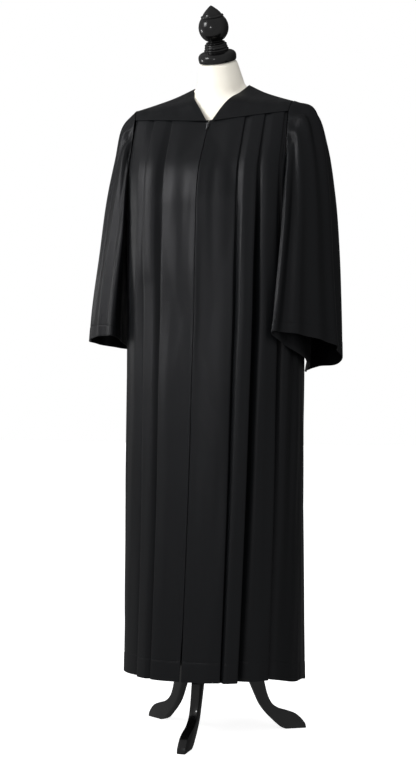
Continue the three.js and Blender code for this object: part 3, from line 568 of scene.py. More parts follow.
def sew(name, lines):
    """A row of small stitches along each line, given as points and directions outwards."""
    points, faces = [], []
    for line, out in lines:
        travelled = lengths_along(line[None], 1)[0]
        count = int(travelled[-1] / STITCH["step"])
        for k in range(count):
            middle = (k + 0.5) * STITCH["step"]
            at = [
                np.array([np.interp(middle + d, travelled, line[:, c]) for c in range(3)])
                for d in (-STITCH["length"] / 2, 0, STITCH["length"] / 2)
            ]
            up = np.array([np.interp(middle, travelled, out[:, c]) for c in range(3)])
            across = np.cross(unit(at[2] - at[0]), up) * STITCH["thick"] / 2
            high = up * STITCH["thick"] / 2
            n = len(points)
            points += [at[0] - high * 0.6, at[2] - high * 0.6]
            points += [at[1] + across, at[1] + high, at[1] - across, at[1] - high]
            faces += [(n, n + 2 + i, n + 2 + (i + 1) % 4) for i in range(4)]
            faces += [(n + 1, n + 2 + (i + 1) % 4, n + 2 + i) for i in range(4)]
    piece = new_piece(name, points, faces, thread.material)
    face_outwards(piece)
    belongs(piece, ())
    print(f"{name}: {len(faces) // 8} stitches")


def stitch_line(grid, distance, closed=False):
    """A line to sew along, a distance up from the last row, on the outside of the cloth."""
    out = normals_of(grid, closed)
    line = up_from_edge(grid + out * (CLOTH / 2 + 0.05 * MM), distance)
    normal = unit(up_from_edge(grid + out, distance) - up_from_edge(grid, distance))
    if closed:
        line, normal = np.concatenate([line, line[:1]]), np.concatenate([normal, normal[:1]])
    return line, normal


HEM, HEM_STITCH = 44 * MM, 42 * MM  # depth of a turned hem, and how far up it is stitched
HEM_STEPS = np.array([50, 46.5, 44.8, 43.6, 42.6, 41.6, 40.4, 38.5, 34, 28, 20, 12, 6, 2.5]) * MM


def rows_to_hem(count, length, power=1.0):
    """Shares down a panel: even rows, then closer ones at the stitch line and the hem."""
    upper = np.linspace(0, 1 - 52 * MM / length, count) ** power
    return np.append(upper[upper < 1 - 54 * MM / length], np.append(1 - HEM_STEPS / length, 1))


def hem_relief(from_hem):
    """The stitched hem: a pinch at the stitch line and a fuller band below it."""
    pinch = -0.55 * MM * np.exp(-(((from_hem - HEM_STITCH) / (1.3 * MM)) ** 2))
    return pinch + 0.5 * MM * smooth((HEM_STITCH + 0.5 * MM - from_hem) / (4 * MM))


print("creases, stitches and hems are ready")

# %% [markdown]
# ## The pleated fronts
# Each front hangs from the yoke in three knife pleats that fold towards the side seam, and its
# centre edge is folded back where the zip is sewn in. Pleats could be folded by a simulation,
# but would not keep their sharp presses. Here each column of the grid has a distance from the
# centre and a height at the yoke and at the hem, and the columns turn round in two small half
# circles at each pleat, so the cloth really doubles under itself.

# %% Seams of the fronts
YOKE_SEAM, SIDE_SEAM = 1.1 * MM, 0.15 * MM  # how far a panel ends before each seam
V_POINT_Z, SEAM_RISE, YOKE_HALF = 1405 * MM, 14 * MM, 185 * MM
BACK_SEAM_Z, UNDERARM_Z = 1385 * MM, 1185 * MM
HEM_FRONT_Z, HEM_SIDE_Z, HEM_BACK_Z = 156 * MM, 134 * MM, 113 * MM


def front_seam_z(s):
    return V_POINT_Z + SEAM_RISE * np.clip(np.asarray(s) / YOKE_HALF, 0, 1)


def hem_z(share, back=False):
    return mix(HEM_BACK_Z if back else HEM_FRONT_Z, HEM_SIDE_Z, smooth((share - 0.55) / 0.45))


seam_level = (BACK_SEAM_Z - LEVELS[0]) / LEVEL_STEP
back_outlines = OUTLINES[True][0]
seam_row = mix(back_outlines[int(seam_level)], back_outlines[int(seam_level) + 1], seam_level % 1)
seam_share = np.interp(YOKE_HALF, seam_row[:, 0], SHARES)
BACK_YOKE_HALF = float(seam_share * quarter_length(BACK_SEAM_Z, True))


def armhole(t, back=False):
    """The armhole edge, 0 at the yoke and 1 at the underarm: distance round and height."""
    angle = np.asarray(t) * math.pi / 2
    z = mix(BACK_SEAM_Z if back else front_seam_z(YOKE_HALF), UNDERARM_Z, np.sin(angle))
    start = BACK_YOKE_HALF if back else YOKE_HALF
    return mix(start, quarter_length(UNDERARM_Z, back), 1 - np.cos(angle)), z


def side_part(t, v, inner, z_hem, back=False):
    """The part of a panel below the armhole: t is 0 at its inner edge and 1 at the side seam."""
    s_top, z_top = armhole(t, back)
    start, _ = armhole(0, back)
    z = mix(z_top - YOKE_SEAM, z_hem, v)
    share_top = (s_top - start) / (quarter_length(z_top, back) - start)
    end = quarter_length(z, back) - SIDE_SEAM
    return mix(inner, end, mix(share_top, t, v)), z


print("the back yoke reaches", round(BACK_YOKE_HALF, 4), "m each side")

# %% Columns of a front
PLEATS = {
    # fold at the yoke and at the hem, how far it stands up there, its tuck, and how deep the
    # cloth beyond it falls back at the hem
    "left": ((87, 85, 3, 5, 15, 2), (133, 119, 3, 14, 20, 12), (177, 194, 3, 9, 17, 15)),
    "right": ((87, 71, 3, 7, 15, 2), (133, 113, 3, 9, 20, 3), (177, 190, 3, 7, 17, 3)),
}


def front_columns(pleats):
    """Columns from the centre edge outwards: distance and lift, at the yoke and at the hem."""
    columns = []
    # the edge, folded back behind itself beside the zip
    edge, radius = 1.0 + FOLD / MM, FOLD / MM
    for s in (10, 7, 4, 2.4):
        columns.append((s, s, -2 * radius, -2 * radius))
    for angle in np.radians((-60, -30, 0, 30, 60)):
        s, drop = edge - radius * np.cos(angle), -radius + radius * np.sin(angle)
        columns.append((s, s, drop, drop))
    for s in (2.2, 4, 6, 8):
        columns.append((s, s, 0, 0))
    start, hidden, deep = np.array([8.0, 8.0]), 0, np.zeros(2)
    for top, hem, lift_top, lift_hem, tuck, dip in pleats:
        fold, lift = np.array([top, hem]), np.array([lift_top, lift_hem])
        low, high = start + hidden, fold - 1.2 * tuck - 1
        # from under the pleat before, out to where this one begins to stand up, and to its fold
        for t in (0.2, 0.4, 0.6, 0.8) if hidden else ():
            columns.append((*mix(start, low, t), *(-deep * smooth(t))))
        for t in np.linspace(0, 1, 17)[0 if hidden else 1 :]:
            slope = smooth(1 - t * (high - low) / (17 + deep))
            columns.append((*mix(low, high, t), *(lift * smooth(t) - deep * slope)))
        for t in (0.2, 0.4, 0.6, 0.8):
            columns.append((*mix(high, fold, t), *lift))
        # round the fold, back under it, and round again
        for angle in np.radians((90, 60, 30, 0, -30, -60, -90)):
            columns.append((*(fold + np.cos(angle) / 4 * lift), *(lift * (0.75 + np.sin(angle) / 4))))
        for t in (0.25, 0.5, 0.75):
            columns.append((*(fold - tuck * t), *(lift / 2)))
        for angle in np.radians((90, 60, 30, 0, -30, -60, -90)):
            inside = fold - tuck - np.cos(angle) / 4 * lift
            columns.append((*inside, *(lift * (0.25 + np.sin(angle) / 4))))
        start, hidden, deep = fold - tuck, tuck + 2, np.array([0, dip])
    return np.array(columns) * MM, start * MM


for side, pleats in PLEATS.items():
    print(side, "front:", len(front_columns(pleats)[0]), "columns across its pleats")

# %% The two fronts
# Ridges and troughs of each front: distance from the centre and height at both ends, width and
# height. The first row of the left front is the ridge beside the zip, and the first of the right
# front is the broad swell over the chest. They carry the brightest bands of sheen.
LEFT_RELIEF = [
    (3, 1290, 3, 700, 10, 1.9), (30, 1390, 20, 1150, 9, 0.8), (60, 1390, 66, 1180, 10, 0.6),
    (34, 1340, 40, 1010, 10, -1.0), (16, 900, 60, 760, 8, 0.9),
    (22, 820, 70, 690, 7, -0.9), (18, 740, 58, 640, 6, 0.8), (14, 660, 50, 560, 6, -0.7),
    (30, 640, 42, 300, 12, 0.9), (66, 760, 70, 330, 9, -0.8), (104, 1330, 110, 900, 10, 1.0),
    (112, 880, 104, 420, 11, -1.0), (150, 1180, 156, 720, 12, 1.2), (168, 800, 172, 260, 12, -1.2),
    (214, 1100, 226, 420, 16, 4.0), (238, 900, 246, 220, 14, -2.6), (258, 1050, 262, 380, 14, 2.4),
]
RIGHT_RELIEF = [
    (124, 1450, 124, 1030, 24, 9.0), (24, 980, 22, 520, 14, 1.6),
    (12, 1395, 22, 1150, 9, 0.8), (56, 1385, 60, 1150, 12, 1.0), (36, 1300, 34, 980, 9, -1.0),
    (20, 960, 44, 800, 10, 0.8), (60, 1000, 66, 560, 11, 1.2), (30, 700, 36, 260, 12, -0.9),
    (104, 1360, 108, 980, 10, 1.2), (118, 960, 108, 500, 11, -1.0), (148, 1240, 158, 760, 12, 1.2),
    (166, 700, 170, 240, 12, 1.2), (212, 1080, 222, 360, 15, -3.0), (236, 940, 240, 260, 14, 3.2),
    (260, 980, 266, 320, 13, -2.0),
]


REACH_AT_HEM = 30 * MM  # how far past the last pleat the yoke's part of a front reaches there
OPENING = 2.6  # the pleats stand up fully after 1 / OPENING of their length
SLIT_TOP_Z, SLIT_LENGTH, SLIT_REACH = 300 * MM, 160 * MM, 26 * MM
SLIT_GAP, SLIT_LIFT = 2.2 * MM, {1: 5 * MM, -1: 1.5 * MM}


def front_panel(side, relief, phase):
    """The grid of one front, from the folded edge at the zip out to the side seam."""
    pleats = PLEATS["left" if side > 0 else "right"]
    columns, start = front_columns(pleats)
    v = rows_to_hem(118, 1.25)[:, None]
    hem_end = quarter_length(HEM_SIDE_Z)
    # the pleated part and what is left of the width of the yoke
    beyond = np.linspace(0, 1, 9)[1:-1]
    s_top = np.append(columns[:, 0], mix(start[0], YOKE_HALF, beyond))
    s_hem = np.append(columns[:, 1], start[1] + REACH_AT_HEM * beyond)
    lift_top, lift_hem = (np.pad(columns[:, k], (0, len(beyond))) for k in (2, 3))
    z_low = hem_z(s_hem / hem_end)
    s, z = mix(s_top, s_hem, v), mix(front_seam_z(s_top) - YOKE_SEAM, z_low, v)
    lift = mix(lift_top, lift_hem, smooth(v * OPENING))
    # the part below the armhole
    t = np.linspace(0, 1, 21)
    reach = start[1] + REACH_AT_HEM
    low = hem_z(mix(reach, hem_end, t) / hem_end)
    s_side, z_side = side_part(t, v, mix(YOKE_HALF, reach, v), low)
    s, z = np.append(s, s_side, 1), np.append(z, z_side, 1)
    lift, z_hem = np.pad(lift, ((0, 0), (0, len(t)))), np.append(z_low, low)
    # the cloth beyond the last pleat falls back as well
    top, hem, *_, tuck, dip = np.array(pleats[-1]) * MM
    past = s[:, len(columns) :] - mix(top, hem, v)
    hollow = smooth((past + tuck) / (8 * MM)) * smooth((dip + 15 * MM - past) / (dip + 13 * MM))
    lift[:, len(columns) :] -= dip * smooth(v * OPENING) * hollow
    free = smooth((quarter_length(z) - s) / (12 * MM)) * smooth(v * 12)
    inner = smooth((s - 4 * MM) / (10 * MM))
    lift += creases(s, z, relief) * free + keel(s, z)
    lift += (unevenness(s + phase, z, 0.6 * MM) + hem_relief(z - z_hem)) * free * inner
    # below the zip the two fronts part a little
    slit = smooth((SLIT_TOP_Z - z) / SLIT_LENGTH) * smooth(1 - s / SLIT_REACH)
    return body_point(s + slit * SLIT_GAP, z, lift + slit * SLIT_LIFT[side], side)


left_grid = front_panel(1, LEFT_RELIEF, phase=0.0)
right_grid = front_panel(-1, RIGHT_RELIEF, phase=0.37)
for side, grid in (("left", left_grid), ("right", right_grid)):
    hemmed = turn_under(grid, HEM)
    make_cloth(f"{side}_front_cloth", hemmed, [f"front_{side}"])

# %% [markdown]
# ## The back
# The photograph doesn't show the back. Robes of this cut are gathered under a back yoke and fall
# in soft flutes, so the back is made that way. Even waves would look like corrugated board, so
# each flute has its own width and depth, and small gathers near the yoke run out below it.

# %% The back panel
FLUTES = 11
FLUTE_LIFT = 2.2 * MM, 10 * MM  # how far they stand out under the yoke and at the hem
BACK_MIDDLE = 0.8  # share of the back's width at the hem that hangs from the yoke
BACK_CREASES = [
    (-150, 1330, -120, 1020, 9, 2.0), (-90, 1350, -84, 1120, 8, -1.8), (-40, 1360, -52, 1060, 9, 1.8),
    (12, 1370, 6, 1150, 8, -1.6), (58, 1350, 70, 1030, 9, 1.9), (118, 1340, 104, 1090, 8, -1.8),
    (160, 1300, 176, 900, 11, 2.2), (-190, 1100, -204, 600, 13, 2.4), (-120, 880, -136, 420, 12, -2.2),
    (-30, 900, -18, 380, 12, 2.1), (44, 820, 60, 300, 12, -2.0), (132, 860, 150, 360, 13, 2.2),
    (206, 900, 214, 320, 14, -2.4),
]


def back_panel():
    """The grid of the back: the fluted middle, and a plain part below each armhole."""
    across = np.linspace(-1, 1, 2 * 92 + 1)
    sides = np.linspace(0, 1, 19)[1:]
    v = rows_to_hem(112, 1.26)[:, None]
    hem_end = quarter_length(HEM_BACK_Z, True) * BACK_MIDDLE
    z_hem = hem_z(np.abs(across) * BACK_MIDDLE, True)
    z = mix(BACK_SEAM_Z - YOKE_SEAM, z_hem, v)
    s = mix(across * BACK_YOKE_HALF, across * hem_end, v)
    phase = across * FLUTES * math.pi + 0.5 * np.sin(across * 7.3 + 1.0) + 0.35 * np.sin(across * 13.1)
    size = 1 + 0.3 * np.sin(across * 9.7 + 0.6) + 0.18 * np.sin(across * 17.9 + 2.0)
    ends = smooth((1 - np.abs(across)) * 6)
    flute = (0.5 + 0.5 * np.cos(phase + 0.35 * np.sin(v * 3.1))) * size * ends
    gathers = (0.5 + 0.5 * np.cos(phase * 3.3 + 1.4)) * ends * smooth(1 - v / 0.22) * 1.3 * MM
    near = smooth(v * 14)  # the seam holds the gathers flat
    lift = mix(*FLUTE_LIFT, smooth(v * 1.3)) * flute * mix(0.7, 0.92, near) + gathers * near
    lift += (creases(s, z, BACK_CREASES) + unevenness(s, z, 0.9 * MM) * ends) * smooth(v * 10) * ends
    lift += hem_relief(z - z_hem)
    middle = body_point(s, z, lift, np.where(across < 0, -1, 1), True)
    edges = []
    for side in (-1, 1):
        z_low = hem_z(mix(BACK_MIDDLE, 1, sides), True)
        s, z = side_part(sides, v, mix(BACK_YOKE_HALF, hem_end, v), z_low, True)
        soft = smooth((quarter_length(z, True) - s) / (14 * MM)) * smooth(sides * 4) * smooth(v * 10)
        lift = unevenness(s * side + 0.2, z, 1.1 * MM) * soft + hem_relief(z - z_low)
        edges.append(body_point(s, z, lift, side, True))
    return np.concatenate([edges[0][:, ::-1], middle, edges[1]], 1)


back_grid = back_panel()
make_cloth("back_cloth", turn_under(back_grid, HEM), ["back"])

# %% [markdown]
# ## The yokes
# The yokes are small, nearly smooth patches between four seams: the neck edge, the shoulder, the
# sleeve and the seam over the pleats. They could be cut from a subdivided plane and pulled into
# place. A surface mixed from its four edge curves lands on every seam exactly, so that is used,
# with slight drag lines towards the neck.

# %% Curves and patches
class Curve:
    """A smooth line through points, read by share of its run or of its length."""

    def __init__(self, points):
        self.points = np.array(points, float)
        self.ends = 2 * self.points[0] - self.points[1], 2 * self.points[-1] - self.points[-2]
        self.run = np.linspace(0, 1, 401)
        steps = np.linalg.norm(np.diff([self.point(t) for t in self.run], axis=0), axis=1)
        self.travelled = np.append(0, np.cumsum(steps))

    def point(self, t):
        last = len(self.points) - 1
        i = min(int(t * last), last - 1)
        w = t * last - i
        b, c = self.points[i], self.points[i + 1]
        a = self.points[i - 1] if i else self.ends[0]
        d = self.points[i + 2] if i + 2 <= last else self.ends[1]
        gaps = [max(np.sum((q - p) ** 2), 1e-16) ** 0.25 for p, q in ((a, b), (b, c), (c, d))]
        first = ((b - a) / gaps[0] - (c - a) / (gaps[0] + gaps[1]) + (c - b) / gaps[1]) * gaps[1]
        second = ((c - b) / gaps[1] - (d - b) / (gaps[1] + gaps[2]) + (d - c) / gaps[2]) * gaps[1]
        bend = -3 * b + 3 * c - 2 * first - second
        return b + first * w + bend * w**2 + (2 * b - 2 * c + first + second) * w**3

    def even(self, share):
        return self.point(np.interp(share * self.travelled[-1], self.travelled, self.run))


def patch(near, far, left, right, us, vs):
    """A surface between four edges: near and far run along u, left and right along v."""
    u, v = np.array(us)[None, :, None], np.array(vs)[:, None, None]
    n, f = np.array([near(t) for t in us])[None], np.array([far(t) for t in us])[None]
    l, r = np.array([left(t) for t in vs])[:, None], np.array([right(t) for t in vs])[:, None]
    corners = (1 - u) * (1 - v) * near(0) + u * (1 - v) * near(1) + (1 - u) * v * far(0) + u * v * far(1)
    return n * (1 - v) + f * v + l * (1 - u) + r * u - corners


YOKE_LIFT, SHOULDER_SEAM = 4.3 * MM, 0.9 * MM
OVERLAP = 3 * MM  # how far a yoke reaches down over the pleats sewn under it
SHOULDER = np.array([(67, 58, 1497), (110, 39, 1474), (154, 20, 1456), (190, 5, 1443)]) * MM
NECK_POINT, SHOULDER_TIP = SHOULDER[0], SHOULDER[-1]
shoulder = Curve(SHOULDER)
NECKLINE = np.array([(27, -21, 1436), (38, -14, 1451), (46, -3, 1461), (56, 21, 1474)]) * MM
BACK_NECK = np.array([(50, 96, 1502), (0, 115, 1504)]) * MM
print("the shoulder seam is", round(shoulder.travelled[-1], 4), "m long")

# %% The three yokes
V_EDGE = {1: 9 * MM, -1: 4 * MM}  # how far from the centre each yoke ends at the foot of the V
YOKE_STITCH = 3.5 * MM  # how far in from its seam a yoke is topstitched
YOKE_CREASES = [
    (30, 1412, 60, 1478, 9, 0.9), (70, 1415, 96, 1470, 10, -0.8), (120, 1420, 128, 1458, 9, 0.8),
    (160, 1422, 150, 1450, 8, -0.9), (178, 1428, 168, 1450, 7, 0.8),
]


def edge_rows(count):
    """Even shares with closer ones near both edges."""
    return np.concatenate([[0, 0.012, 0.03, 0.06], np.linspace(0.1, 0.9, count), [0.94, 0.97, 0.988, 1]])


def ease(grid, gap):
    """Takes a narrow strip off the last row."""
    grid[-1] += unit(grid[-2] - grid[-1]) * gap
    return grid


def pinched(grid, distance, depth, closed=False):
    """Presses a row of topstitching into the cloth, a distance in from the first row."""
    out, down = normals_of(grid, closed), lengths_along(grid, 0)
    hollow = np.exp(-(((down - distance) / (1.6 * MM)) ** 2))
    return grid - out * (depth * hollow)[..., None]


def front_yoke(side):
    def seam(u):
        s = mix(V_EDGE[side], YOKE_HALF, u)
        return body_point(s, front_seam_z(s) - OVERLAP, YOKE_LIFT)

    neckline = Curve([seam(0), *NECKLINE, NECK_POINT])
    sleeve_edge = Curve([seam(1), np.array([189, -9, 1438]) * MM, SHOULDER_TIP])
    grid = patch(seam, shoulder.even, neckline.even, sleeve_edge.even, edge_rows(30), edge_rows(18))
    relief = creases(grid[..., 0], grid[..., 2], YOKE_CREASES)
    u, v = edge_rows(30)[None], edge_rows(18)[:, None]
    middle = smooth(u * 8) * smooth((1 - u) * 8) * smooth(v * 6) * smooth((1 - v) * 6)
    grid = grid + normals_of(grid) * (relief * middle)[..., None]
    return pinched(ease(grid, SHOULDER_SEAM), YOKE_STITCH, 0.35 * MM) * (side, 1, 1)


def back_yoke():
    def seam(u):
        return body_point(mix(0, BACK_YOKE_HALF, u), BACK_SEAM_Z - OVERLAP, YOKE_LIFT, 1, True)

    neck = Curve([*BACK_NECK[::-1], NECK_POINT])
    sleeve_edge = Curve([SHOULDER_TIP, np.array([190, 44, 1425]) * MM, seam(1)])
    middle = Curve([BACK_NECK[-1], np.array([0, 122, 1450]) * MM, seam(0)])
    us = np.append(np.linspace(0, 0.4, 17), np.linspace(0.4, 1, 29)[1:])

    def top(u):
        return neck.even(u / 0.4) if u < 0.4 else shoulder.even((u - 0.4) / 0.6)

    def centre(v):
        return middle.even(1 - v)

    def beside_sleeve(v):
        return sleeve_edge.even(1 - v)

    half = ease(patch(seam, top, centre, beside_sleeve, us, edge_rows(26)), SHOULDER_SEAM)
    whole = np.concatenate([half[:, :0:-1] * (-1, 1, 1), half], 1)
    return pinched(whole, YOKE_STITCH, 0.35 * MM)


yokes = {"left": front_yoke(1), "right": front_yoke(-1), "back": back_yoke()}
for side, node in (("left", "front_yoke_left"), ("right", "front_yoke_right")):
    make_cloth(f"{side}_front_yoke_cloth", yokes[side], [node])
make_cloth("back_yoke_cloth", yokes["back"], ["back_yoke"])

# %% [markdown]
# ## The sleeves
# A bell sleeve is a wide tube, gathered into the armhole and falling to a hem that hangs lower
# behind. It could be draped by simulation, but its folds have known places. So a skin is
# stretched over four guide lines (outermost, front, innermost and back), folds are raised along
# it, and whatever would reach into the robe body is moved out of it.

# %% Guide lines of the sleeves
LEFT_SLEEVE = [
    ((238, 8, 1426), (192, -60, 1285), (214, 12, 1150), (202, 112, 1262)),
    ((262, 10, 1352), (193, -78, 1228), (216, 12, 1110), (206, 126, 1210)),
    ((276, 12, 1235), (193, -94, 1150), (218, 12, 1060), (209, 136, 1135)),
    ((283, 14, 1090), (189, -111, 1045), (219, 12, 1000), (209, 143, 1025)),
    ((289, 16, 970), (186, -124, 968), (220, 12, 935), (194, 153, 915)),
    ((294, 18, 884), (183, -132, 918), (220, 12, 854), (176, 158, 834)),
]
RIGHT_SLEEVE = [
    ((226, 4, 1408), (191, -58, 1285), (214, 12, 1150), (202, 110, 1262)),
    ((246, 2, 1330), (194, -71, 1225), (216, 12, 1110), (210, 120, 1210)),
    ((267, 0, 1238), (198, -78, 1150), (218, 12, 1062), (216, 126, 1140)),
    ((285, -4, 1098), (206, -90, 1050), (219, 12, 1002), (221, 128, 1032)),
    ((300, -8, 985), (211, -98, 968), (220, 10, 945), (225, 124, 945)),
    ((308, -10, 902), (213, -102, 914), (220, 8, 893), (227, 119, 882)),
]
# Folds down a sleeve: where they lie round it at the head and at the hem (0 outermost, 0.25
# front, 0.5 innermost), how wide they are, and how far they stand out at the head and the hem.
LEFT_FOLDS = [
    (0.165, 0.185, 0.026, -6, -11), (0.115, 0.12, 0.024, -4, -5), (0.06, 0.055, 0.02, -8, -4),
    (0.99, 0.985, 0.024, -6, -8), (0.93, 0.925, 0.05, 0, 10), (0.88, 0.86, 0.03, -6, -4),
    (0.83, 0.79, 0.03, -4, -3), (0.215, 0.225, 0.014, 1.6, 2.6), (0.085, 0.09, 0.012, 1.8, 1.6),
    (0.14, 0.15, 0.012, 1.2, 2.4), (0.02, 0.02, 0.013, 2.0, 2.2), (0.87, 0.86, 0.014, 1.8, 2.0),
    (0.79, 0.78, 0.015, 1.6, 2.4), (0.68, 0.69, 0.02, -2, -3),
]
RIGHT_FOLDS = [
    (0.2, 0.2, 0.022, -4, -4), (0.12, 0.095, 0.024, -6, -3), (0.06, 0.035, 0.024, -5, -7),
    (0.99, 0.97, 0.024, -5, -8), (0.91, 0.89, 0.026, -5, -9), (0.83, 0.82, 0.024, -4, -6),
    (0.16, 0.15, 0.014, 1.8, 2.6), (0.09, 0.07, 0.012, 1.6, 2.0), (0.03, 0.01, 0.014, 2.2, 2.0),
    (0.95, 0.93, 0.014, 2.0, 2.6), (0.87, 0.86, 0.014, 1.6, 2.2), (0.7, 0.7, 0.02, -2, -3),
]


def armhole_loop():
    """The armhole by turn: 0 at the shoulder tip, 0.5 at the underarm, round by the front."""
    halves = []
    for back, above in ((False, (189, -9, 1438)), (True, (190, 44, 1425))):
        ts = np.linspace(0, 1, 15)
        s, z = armhole(ts, back)
        edge = body_point(s, z, mix(YOKE_LIFT, 0, np.clip(ts * 5, 0, 1)), 1, back)
        halves.append(Curve([SHOULDER_TIP, np.array(above) * MM, *edge]))
    return lambda turn: halves[0].even(turn * 2) if turn <= 0.5 else halves[1].even(2 - turn * 2)


FULLNESS = 0.62  # how round a ring runs between its four guide points


def ring_through(points, turns):
    """A closed smooth ring through four guide points."""
    run = turns * 4
    i = run.astype(int) % 4
    w = (run - np.floor(run))[:, None]
    a, b, c, d = (points[(i + k) % 4] for k in (-1, 0, 1, 2))
    first, second = FULLNESS * (c - a), FULLNESS * (d - b)
    bend = -3 * b + 3 * c - 2 * first - second
    return b + first * w + bend * w**2 + (2 * b - 2 * c + first + second) * w**3


def clear_of_body(p, margin):
    """Moves points out of the robe body, sideways, until they are clear of it by margin."""
    front_y, back_y, middle, half, square, square_back = (
        np.interp(p[..., 2], LEVELS, BODY_ROWS[:, k]) for k in range(1, 7)
    )
    y = p[..., 1] - middle
    power = np.where(y < 0, square, square_back)
    depth = np.where(y < 0, middle - front_y, back_y - middle)
    reach = (np.abs(p[..., 0] / half) ** power + np.abs(y / depth) ** power) ** (1 / power)
    grow = np.maximum(1, (1 + margin / np.hypot(p[..., 0], y)) / reach)
    return np.stack([p[..., 0] * grow, middle + y * grow, p[..., 2]], -1)


print("the sleeves have", len(LEFT_FOLDS), "and", len(RIGHT_FOLDS), "folds")

# %% The two sleeves
SLEEVE_LENGTH = 620 * MM  # roughly; it spaces the rows and places the hem's relief
HEAD_GAP = 2.1 * MM  # how far a sleeve's head stands off the robe


def sleeve(sections, folds, side, phase, clear_ahead, drop=(0, 0)):
    """The grid of a sleeve; drop says where round it the hem hangs lower, and by how many mm."""
    loop = armhole_loop()
    turns = np.arange(176) / 176
    t = rows_to_hem(84, SLEEVE_LENGTH, 1.15)
    start = np.array([loop(turn) for turn in turns])
    tables = np.array(sections, float) * MM
    guides = [Curve([loop(k / 4), *tables[:, k]]) for k in range(4)]
    rings = np.array([ring_through(np.array([g.point(share) for g in guides]), turns) for share in t])
    out = normals_of(rings, True)
    share, turn = t[:, None], turns[None]
    grid = rings + (start - rings[0]) * ((1 - smooth(share / 0.3)) ** 1.5)[..., None]
    lift = np.zeros(grid.shape[:2])
    for head, hem, width, head_lift, hem_lift in folds:
        gap = np.abs(turn - mix(head, hem, share))
        near = np.minimum(gap, 1 - gap) / width
        lift += mix(head_lift, hem_lift, smooth(share * 1.5)) * MM * np.exp(-near * near)
    angle = turn * 2 * math.pi
    gathers = np.cos(20 * angle) * (1.1 + 0.5 * np.sin(3 * angle + phase)) + 0.5 * np.cos(33 * angle + 1)
    lift += gathers * MM * smooth(1 - share / (0.34 + 0.08 * np.sin(7 * angle + phase)))
    ripples = np.sin(9 * angle + 5 * share + phase) + np.sin(14 * angle - 7 * share)
    lift += ripples * 0.6 * MM * smooth(share * 3)
    lift = lift * smooth(share * 9) + hem_relief((1 - share) * SLEEVE_LENGTH)
    grid = grid + out * lift[..., None]
    corner = np.minimum(abs(turn - drop[0]), 1 - abs(turn - drop[0])) / 0.055
    grid[..., 2] -= drop[1] * MM * np.exp(-corner * corner) * smooth(share * 2 - 1)
    margin = mix(2.4, np.where(grid[..., 1] < 0, clear_ahead, 9), smooth(share * 2.5)) * MM
    below = smooth((BACK_SEAM_Z - grid[..., 2]) / (60 * MM))
    moved = clear_of_body(grid, margin * below)
    grid = np.where(((grid[..., 2] < BACK_SEAM_Z) & (share > 0))[..., None], moved, grid)
    grid[..., 0] += HEAD_GAP * (1 - smooth(share * 6))
    return grid * (side, 1, 1)


sleeves = {
    "left": sleeve(LEFT_SLEEVE, LEFT_FOLDS, 1, phase=0.0, clear_ahead=16, drop=(0.91, 14)),
    "right": sleeve(RIGHT_SLEEVE, RIGHT_FOLDS, -1, phase=2.0, clear_ahead=12),
}
for side in ("left", "right"):
    hemmed = turn_under(sleeves[side], HEM, True)
    make_cloth(f"{side}_sleeve_cloth", hemmed, [f"sleeve_{side}"], True)

# %% [markdown]
# ## Sewing
# The hems are held by a row of stitches 42 mm up, and the yokes are topstitched beside their
# seams. One small spindle of eight faces is enough for a stitch, because there are hundreds.

# %% Rows of stitches
hems = left_grid[:, 10:], right_grid[:, 10:], back_grid  # a front's hidden edge is left out
sew("hem_stitches", [stitch_line(grid, HEM_STITCH) for grid in hems])
sew("sleeve_hem_stitches", [stitch_line(grid, HEM_STITCH, True) for grid in sleeves.values()])
sew("yoke_stitches", [stitch_line(grid[::-1], YOKE_STITCH) for grid in yokes.values()])

# %% [markdown]
# ## The zip
# The zip is almost hidden behind the folded front edges, and only its slider catches the light
# at the bottom of the V. The tape is a flat strip with a woven finish, and two rows of small
# teeth lock along its middle. The slider is a bevelled block between its plates, and the tab on
# it is a piece of its own, because it swings.

# %% Tape and teeth
TAPE_TOP_Z, TEETH_TOP_Z, TEETH_END_Z = 1396 * MM, 1384 * MM, 302 * MM
PITCH = 1.7 * MM  # from one tooth to the next of its row


def zip_place(z, lift, x=0.0):
    """A place on the zip, which follows the robe's front at a lift."""
    point = body_point(abs(x), z, lift + keel(x, z))
    return point * (1 if x >= 0 else -1, 1, 1)


tape_rows = np.linspace(TAPE_TOP_Z, SLIT_TOP_Z, 150)
tape_columns = np.array([-12, -11.4, -8, -4, -1, 0, 1, 4, 8, 11.4, 12]) * MM
tape_grid = np.array([[zip_place(z, -4.2 * MM, x) for x in tape_columns] for z in tape_rows])
tape = make_cloth("zip_tape_cloth", tape_grid, ["zip_tape"])
tape.data.materials[0] = tape_weave

points, faces = [], []
for k in range(int((TEETH_TOP_Z - TEETH_END_Z) / (PITCH / 2))):
    z = TEETH_TOP_Z - k * PITCH / 2
    side = 1 if k % 2 else -1
    inner, outer = -0.45 * MM * side, 2.6 * MM * side
    base = len(points)
    for x, half in ((inner, 0.36), (mix(inner, outer, 0.4), 0.3), (outer, 0.42)):
        for dz, lift in ((-half, -3.72), (half, -3.72), (half * 0.8, -3.0), (-half * 0.8, -3.0)):
            points.append(zip_place(z + dz * MM, lift * MM) + (x, 0, 0))
    for a in (0, 4):
        faces += [tuple(base + a + i for i in (j, (j + 1) % 4, (j + 1) % 4 + 4, j + 4)) for j in range(4)]
    faces += [(base + 3, base + 2, base + 1, base), (base + 8, base + 9, base + 10, base + 11)]
teeth = new_piece("zip_teeth", points, faces, metal.material)
face_outwards(teeth)
belongs(teeth, ())
print("zip teeth:", len(points) // 12)

